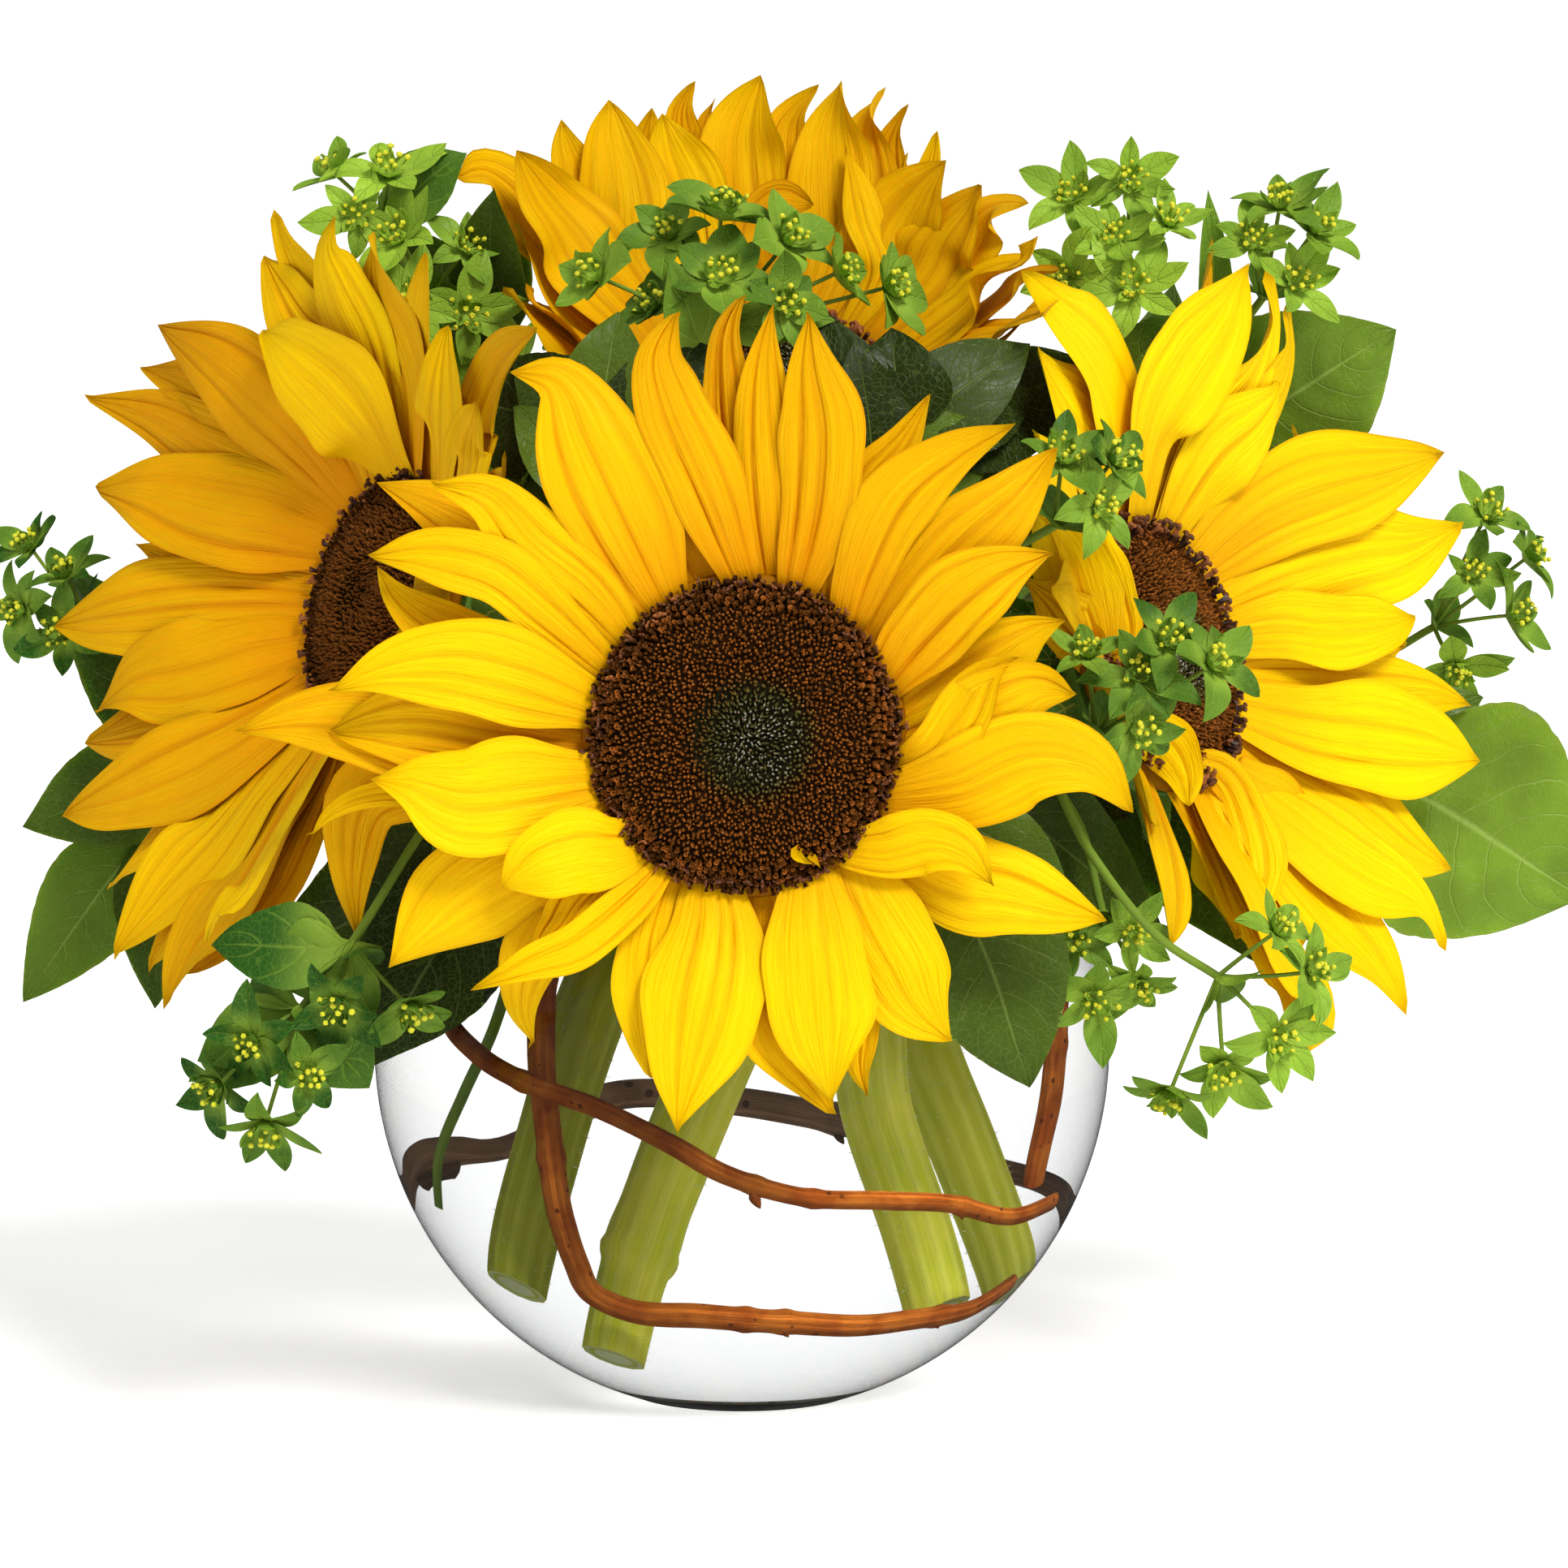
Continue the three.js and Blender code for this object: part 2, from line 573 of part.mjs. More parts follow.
const SPRAYS = {
  top_left: {
    stem: [...throughMouth(160), [-46, 22, 165], [-54, 20, 194], [-66, 18, 226], [-75, 18, 243]],
    umbels: [
      { node: 6, towards: VIEWER, heads: [[-84, 16, 252], [-73, 12, 252], [-79, 10, 244]] },
      { node: 5, towards: VIEWER, heads: [[-70, 8, 239], [-57, 12, 237], [-69, 5, 225], [-57, 9, 224],
        [-65, 12, 213]] },
    ],
    leaves: [{ node: 6, to: [-57, 14, 257], face: [0, -0.9, 0.5], width: 13 }],
    seed: 31,
  },
  top_middle: {
    stem: [...throughMouth(-67), [12, -40, 165], [4, -40, 190], [-5, -36, 212], [-5, -34, 222]],
    umbels: [
      { node: 6, towards: VIEWER, heads: [[-28, -30, 232], [-17, -32, 226], [-14, -28, 240],
        [-4, -33, 244], [-4, -41, 232], [9, -33, 239], [8, -41, 227], [19, -32, 233], [29, -28, 230]] },
    ],
    leaves: [
      { node: 5, to: [-14, -44, 236], face: [0, -1, 0.3], width: 12 },
      { node: 6, to: [19, -40, 224], face: [0, -1, 0.4], width: 10 },
    ],
    seed: 32,
  },
  top_right: {
    stem: [...throughMouth(48), [46, 46, 165], [66, 36, 190], [79, 28, 210], [81, 22, 226]],
    umbels: [
      { node: 6, towards: VIEWER, heads: [[69, 20, 247], [80, 17, 251], [88, 12, 242], [77, 13, 239],
        [68, 15, 231], [81, 9, 229]] },
    ],
    leaves: [{ node: 5, to: [92, 18, 224], face: [0.3, -0.9, 0.4], width: 11 }],
    seed: 33,
  },
  far_right_top: {
    stem: [...throughMouth(34), [57, 44, 165], [80, 52, 188], [100, 48, 212], [110, 42, 226]],
    umbels: [
      { node: 6, towards: VIEWER, heads: [[113, 36, 245], [107, 34, 238], [120, 36, 240], [116, 34, 229]] },
    ],
    leaves: [{ node: 5, to: [99, 42, 249], face: [0.2, -1, 0], width: 8 }],
    seed: 34,
  },
  right: {
    stem: [...throughMouth(27), [72, 48, 148], [105, 66, 146], [135, 72, 146], [150, 70, 154]],
    umbels: [
      { node: 6, towards: VIEWER, heads: [[160, 64, 178], [169, 66, 169], [157, 61, 166], [165, 62, 157],
        [154, 62, 146]] },
    ],
    seed: 35,
  },
  over_right_disc: {
    stem: [...throughMouth(-38), [50, -44, 142], [61, -56, 139], [70, -62, 143]],
    umbels: [
      { node: 5, towards: VIEWER, heads: [[68, -67, 159], [78, -68, 155], [83, -66, 162], [92, -66, 157],
        [77, -70, 145]] },
    ],
    seed: 36,
  },
  right_inner_low: {
    stem: [...throughMouth(-29), [55, -40, 139], [67, -48, 125], [72, -51, 107]],
    umbels: [
      { node: 5, towards: VIEWER, heads: [[66, -58, 102], [77, -58, 104], [79, -58, 94], [70, -60, 91]] },
    ],
    seed: 37,
  },
  right_low: {
    stem: [...throughMouth(-19), [60, -40, 143], [76, -64, 130], [88, -68, 112], [94, -67, 96]],
    umbels: [
      { node: 6, towards: VIEWER, heads: [[105, -70, 105], [112, -68, 97], [105, -72, 85], [95, -70, 79],
        [85, -68, 74]] },
    ],
    seed: 38,
  },
  between_front_and_right: {
    stem: [...throughMouth(-56), [35, -50, 165], [52, -54, 178], [62, -56, 184]],
    umbels: [{ node: 5, towards: VIEWER, heads: [[63, -62, 197], [73, -60, 197], [70, -64, 188]] }],
    seed: 39,
  },
  left_low: {
    stem: [[-57, -24, 45], [-55.5, -25, 55], [-49, -25.5, 68], [-43, -25, 80], [-36, -22, 108],
      around(-149, 40.5, 130), around(-145, 47, 142), [-52, -43, 138], [-64, -60, 122], [-76, -68, 103],
      [-86, -67, 90]],
    umbels: [
      { node: 9, towards: VIEWER, heads: [[-78, -74, 92], [-65, -71, 91]] },
      { node: 10, towards: VIEWER, heads: [[-95, -72, 84], [-85, -74, 78], [-102, -69, 75],
        [-93, -72, 68]] },
    ],
    leaves: [
      { node: 9, to: [-79, -69, 78], face: [0.1, -1, 0.2], width: 14 },
      { node: 10, to: [-108, -62, 78], face: [-0.2, -1, 0.3], width: 15 },
    ],
    seed: 40,
  },
  left: {
    stem: [...throughMouth(170), [-70, 30, 142], [-105, 52, 143], [-130, 58, 148], [-141, 58, 156]],
    umbels: [
      { node: 6, towards: VIEWER, heads: [[-153, 56, 172], [-145, 54, 166], [-155, 58, 159],
        [-146, 54, 154]] },
    ],
    seed: 41,
  },
  back_left: {
    stem: [...throughMouth(118), [-26, 66, 170], [-32, 74, 190], [-36, 78, 202]],
    umbels: [
      { node: 5, towards: BEHIND, heads: [[-49, 82, 210], [-37, 86, 216], [-25, 84, 208], [-43, 89, 200],
        [-30, 90, 198]] },
    ],
    seed: 42,
  },
};

const LEAFY_STEMS = {
  left: {
    stem: [...throughMouth(179), [-68, 24, 132], [-96, 52, 127], [-118, 66, 122], [-128, 66, 112]],
    leaves: [
      { node: 5, to: [-147, 80, 174], face: [0.2, -1, 0], width: 27, sag: 4 },
      { node: 5, to: [-157, 62, 112], face: [0, -1, 0.3], width: 25, sag: 4 },
      { node: 6, to: [-157, 60, 73], face: [0, -1, 0.2], width: 24, sag: 4 },
      { node: 6, to: [-128, 62, 71], face: [0.2, -1, 0.2], width: 19, sag: 4 },
    ],
  },
  left_low: {
    stem: [...throughMouth(-128), [-40, -44, 142], [-47, -50, 132], [-50, -51, 122]],
    leaves: [
      { node: 5, to: [-73, -45, 74], face: [-0.25, -1, 0.1], width: 31, sag: 3 },
      { node: 4, to: [-58, -58, 102], face: [0.1, -1, 0.3], width: 20, sag: 3 },
    ],
  },
  right_low: {
    stem: [...throughMouth(-47), [36, -50, 141], [40, -62, 128], [42, -67, 114]],
    leaves: [
      { node: 5, to: [58, -68, 74], face: [0.15, -1, 0.1], width: 31, sag: 3 },
      { node: 4, to: [66, -62, 112], face: [0.2, -1, 0.4], width: 16, sag: 2 },
    ],
  },
  right: {
    stem: [...throughMouth(20), [72, 30, 138], [104, 46, 132], [128, 54, 127], [136, 54, 124]],
    leaves: [
      { node: 6, to: [179, 52, 96], face: [-0.1, -1, 0.1], width: 48, sag: 6 },
      { node: 5, to: [160, 58, 140], face: [0, -1, 0.3], width: 22, sag: 3 },
    ],
  },
  right_high: {
    stem: [...throughMouth(41), [60, 54, 160], [84, 60, 182], [102, 56, 196]],
    leaves: [
      { node: 5, to: [139, 46, 219], face: [0, -1, 0.1], width: 36, sag: 4 },
      { node: 4, to: [92, 62, 229], face: [0, -1, 0.2], width: 22, sag: 4 },
    ],
  },
  left_high: {
    stem: [...throughMouth(151), [-44, 36, 165], [-50, 32, 190], [-54, 28, 208], [-53, 26, 216]],
    leaves: [
      { node: 6, to: [-50, 26, 251], face: [0, -1, 0], width: 15, sag: 3 },
      { node: 5, to: [-74, 32, 243], face: [0, -1, 0.1], width: 19, sag: 3 },
    ],
  },
  middle_right: {
    stem: [...throughMouth(-77), [16, -46, 165], [26, -46, 188], [32, -44, 200]],
    leaves: [
      { node: 5, to: [58, -32, 220], face: [0, -0.8, 0.6], width: 20, sag: 3 },
      { node: 4, to: [24, -44, 221], face: [0.1, -1, 0.2], width: 17, sag: 3 },
      { node: 5, to: [52, -42, 200], face: [0, -1, 0.3], width: 12, sag: 2 },
    ],
  },
  middle_left: {
    stem: [...throughMouth(-113), [-18, -44, 165], [-26, -44, 188], [-29, -42, 201]],
    leaves: [
      { node: 5, to: [-24, -40, 226], face: [0, -1, 0.2], width: 18, sag: 3 },
      { node: 4, to: [-46, -36, 207], face: [0, -0.9, 0.5], width: 16, sag: 3 },
    ],
  },
  back_left: {
    stem: [...throughMouth(132), [-48, 66, 150], [-62, 80, 148], [-68, 84, 140]],
    leaves: [
      { node: 3, to: [-64, 98, 184], face: [0, 1, 0.3], width: 29, sag: 5 },
      { node: 4, to: [-104, 86, 150], face: [0, 1, 0.4], width: 27, sag: 5 },
      { node: 5, to: [-78, 92, 96], face: [0, 1, 0.1], width: 29, sag: 5 },
    ],
  },
  back_middle: {
    stem: [...throughMouth(100), [-8, 70, 146], [-8, 84, 138], [-6, 88, 128]],
    leaves: [
      { node: 3, to: [-8, 102, 178], face: [0, 1, 0.3], width: 29, sag: 5 },
      { node: 4, to: [30, 96, 122], face: [0.2, 1, 0.1], width: 27, sag: 5 },
      { node: 5, to: [-22, 94, 84], face: [0, 1, 0.1], width: 29, sag: 5 },
    ],
  },
  back_right: {
    stem: [...throughMouth(63), [46, 66, 148], [62, 78, 144], [70, 82, 136]],
    leaves: [
      { node: 3, to: [74, 90, 184], face: [0.1, 1, 0.3], width: 29, sag: 5 },
      { node: 4, to: [106, 84, 142], face: [0.1, 1, 0.4], width: 27, sag: 5 },
      { node: 5, to: [74, 90, 90], face: [0.1, 1, 0.1], width: 29, sag: 5 },
    ],
  },
};

// ---------------------------------------------------------------- bowl and water

const angleAtHeight = (radius, height) => Math.acos((BOWL_CENTRE - height) / radius);

// Points of the ball's profile between two angles, measured up from its lowest point.
function arc(radius, low, high, steps) {
  const points = [];
  for (let k = 0; k <= steps; k++) {
    const angle = low + ((high - low) * k) / steps;
    points.push([radius * Math.sin(angle), BOWL_CENTRE - radius * Math.cos(angle)]);
  }
  return points;
}

const INNER_RADIUS = BOWL_RADIUS - BOWL_WALL;
const MOUTH_ANGLE = Math.PI - Math.asin(BOWL_NECK / INNER_RADIUS);
const FLOOR_ANGLE = angleAtHeight(INNER_RADIUS, BOWL_FLOOR);
const LEVEL_ANGLE = angleAtHeight(INNER_RADIUS, WATER_LEVEL);
const STEPS_BELOW_WATER = 6;

function bowl() {
  const outside = arc(BOWL_RADIUS, angleAtHeight(BOWL_RADIUS, 0), MOUTH_ANGLE, 8);
  const below = arc(INNER_RADIUS, FLOOR_ANGLE, LEVEL_ANGLE, STEPS_BELOW_WATER);
  const above = arc(INNER_RADIUS, LEVEL_ANGLE, MOUTH_ANGLE, 2);
  const [lipRadius, lipHeight] = outside[outside.length - 1];
  const lip = [lipRadius - 0.4, lipHeight + 1.2];
  const inside = [...below, ...above.slice(1)].reverse();
  return geometryOf(solid(turned([[0, 0], ...outside, lip, ...inside, [0, BOWL_FLOOR]], BOWL_SIDES)));
}

// The room that a stem takes in the water, with the clearance all round it and past its lower end.
function hole(points, radius, sides, steps) {
  const foot = vec(points[0]);
  const past = vec(points[1]).sub(foot).normalize().multiplyScalar(-GAP).add(foot);
  return solid(bar([past.toArray(), ...points.slice(1)], clearOf(radius, sides), sides, steps));
}

const clearOf = (radius, sides) => (radius + GAP) / Math.cos(Math.PI / sides) + 0.05;

function twigHole({ points, radius, buds }) {
  const end = vec(points.at(-1));
  const past = vec(points.at(-2)).sub(end).normalize().multiplyScalar(-GAP).add(end);
  const longer = [...points.slice(0, -1), past.toArray()];
  return twigSolids({ points: longer, radius, buds }, clearOf(radius, TWIG_SIDES) - radius);
}

function water() {
  const radius = INNER_RADIUS - 1.3 * GAP;
  const sides = arc(radius, FLOOR_ANGLE, LEVEL_ANGLE, STEPS_BELOW_WATER);
  const floor = BOWL_FLOOR + GAP;
  sides[0] = [sides[0][0], floor];
  const holes = Object.values(TWIGS).map(twigHole);
  for (const [name, { radius: thick }] of Object.entries(SUNFLOWER_STEMS)) {
    const points = sunflowerStemPoints(name);
    holes.push(hole(points, thick, SUNFLOWER_STEM_SIDES, SUNFLOWER_STEM_STEPS));
  }
  for (const { stem } of Object.values(SPRAYS))
    holes.push(hole(stem, SPRAY_STEM_RADIUS, THIN_STEM_SIDES, thinSteps(stem)));
  for (const { stem } of Object.values(LEAFY_STEMS))
    holes.push(hole(stem, LEAF_STEM_RADIUS, THIN_STEM_SIDES, thinSteps(stem)));
  const body = solid(turned([[0, floor], ...sides, [0, sides.at(-1)[1]]], BOWL_SIDES));
  return geometryOf(holes.reduce((rest, taken) => rest.subtract(taken), body));
}

// ---------------------------------------------------------------- materials

const finish = (color, roughness, extra = {}) =>
  new THREE.MeshStandardMaterial({ color, roughness, metalness: 0, ...extra });

const GLASS = finish("#eef4f4", 0.05, { transparent: true, opacity: 0.25 });
const WATER = finish("#e8f2f4", 0.02, { transparent: true, opacity: 0.3 });
const PETAL = finish("#f7b806", 0.6);
const DISC = finish("#3a1c0c", 0.9);
const STEM = finish("#7c9440", 0.6);
const WILLOW = finish("#7a3a20", 0.6);
const BUPLEURUM = finish("#5d9a3a", 0.65);
const LEAF = finish("#2f5f28", 0.4);

// ---------------------------------------------------------------- assembly

const arrangement = new THREE.Group();

function place(parent, name, geometry, material) {
  const mesh = new THREE.Mesh(geometry, material);
  mesh.name = name;
  parent.add(mesh);
}

place(arrangement, "glass_bowl", bowl(), GLASS);
place(arrangement, "water", water(), WATER);
for (const [name, bloom] of Object.entries(BLOOMS)) {
  const head = new THREE.Group();
  head.applyMatrix4(bloomMatrix(bloom));
  place(head, `sunflower_${name}_petals`, rayPetals(bloom), PETAL);
  place(head, `sunflower_${name}_disc`, floretDisc(bloom), DISC);
  arrangement.add(head);
  place(arrangement, `sunflower_${name}_stem`, sunflowerGreen(name), STEM);
}
for (const [name, shape] of Object.entries(TWIGS))
  place(arrangement, `willow_twig_${name}`, geometryOf(twigSolids(shape, 0)), WILLOW);
for (const [name, shape] of Object.entries(SPRAYS))
  place(arrangement, `bupleurum_${name}`, spray(shape), BUPLEURUM);
for (const [name, shape] of Object.entries(LEAFY_STEMS))
  place(arrangement, `leafy_stem_${name}`, leafyStem(shape), LEAF);

export default arrangement;
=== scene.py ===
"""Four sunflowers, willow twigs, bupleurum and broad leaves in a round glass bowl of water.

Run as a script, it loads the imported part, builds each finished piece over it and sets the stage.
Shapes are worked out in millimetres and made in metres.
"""

import itertools
import math

import bpy
import numpy as np
from bpy.props import FloatProperty, FloatVectorProperty, IntProperty, PointerProperty
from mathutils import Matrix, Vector


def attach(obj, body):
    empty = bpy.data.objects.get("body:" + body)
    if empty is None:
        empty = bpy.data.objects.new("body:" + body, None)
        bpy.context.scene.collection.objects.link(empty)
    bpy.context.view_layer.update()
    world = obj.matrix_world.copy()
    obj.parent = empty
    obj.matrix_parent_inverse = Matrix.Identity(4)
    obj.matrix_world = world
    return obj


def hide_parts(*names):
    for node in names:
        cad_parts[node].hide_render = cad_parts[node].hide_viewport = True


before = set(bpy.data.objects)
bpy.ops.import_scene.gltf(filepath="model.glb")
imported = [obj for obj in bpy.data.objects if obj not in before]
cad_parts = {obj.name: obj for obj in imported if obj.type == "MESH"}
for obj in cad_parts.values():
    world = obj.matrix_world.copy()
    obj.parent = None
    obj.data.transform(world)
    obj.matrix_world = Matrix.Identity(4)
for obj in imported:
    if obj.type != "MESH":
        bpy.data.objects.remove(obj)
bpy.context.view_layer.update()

bl_info = {
    "name": "Sunflowers in a Glass Bowl",
    "version": (1, 0, 0),
    "blender": (4, 5, 0),
    "location": "3D View > Sidebar > Sunflowers",
    "description": "Builds a bowl of cut sunflowers, twigs and greens over its packed part",
    "category": "Object",
}

MM = 0.001

# ---------------------------------------------------------------- the arrangement

BOWL_RADIUS = 76.2
BOWL_CENTRE = 72.6
BOWL_WALL = 2.5
BOWL_FLOOR = 4.5
BOWL_NECK = 46
WATER_LEVEL = 105
INNER_RADIUS = BOWL_RADIUS - BOWL_WALL

RING_INSET = 6
RING_FRONT = 1.6
RING_BACK = -2.2
ROOT_INSET = 2.5

PETAL_ROWS = 34
SPRAY_STEM_RADIUS = 1.2
LEAF_STEM_RADIUS = 1.4
STAR_SIZE = 7
STAR_BRACTS = 11
STAR_FLORETS = 10
GREEN_THICKNESS = 0.25
LEAF_THICKNESS = 0.35

# How the photo is seen: its size in pixels, the middle, distance and width of the view, and how far the
# eye looks down. The camera stands there too.
PHOTO_SIZE = 1932
VIEW_MIDDLE = np.array([8.7, 0, 127])
VIEW_DISTANCE = 1300
VIEW_WIDTH = 324.16
VIEW_DOWN = math.radians(6)
PIXEL = VIEW_WIDTH / PHOTO_SIZE


def around(angle, radius, height):
    """A point by its compass angle round the bowl, its distance from the bowl's axis and its height."""
    turn = math.radians(angle)
    return [radius * math.cos(turn), radius * math.sin(turn), height]


def rows(text):
    """Rows of numbers, parted by commas."""
    return [[float(x) for x in row.split()] for row in text.split(",")]


def through_mouth(angle, on):
    """A thin stem stands in the water, comes up through the mouth, bends over the rim and goes on."""
    return [around(angle, 44, 93), around(angle, 40.5, 130), around(angle, 46, 143), *rows(on)]
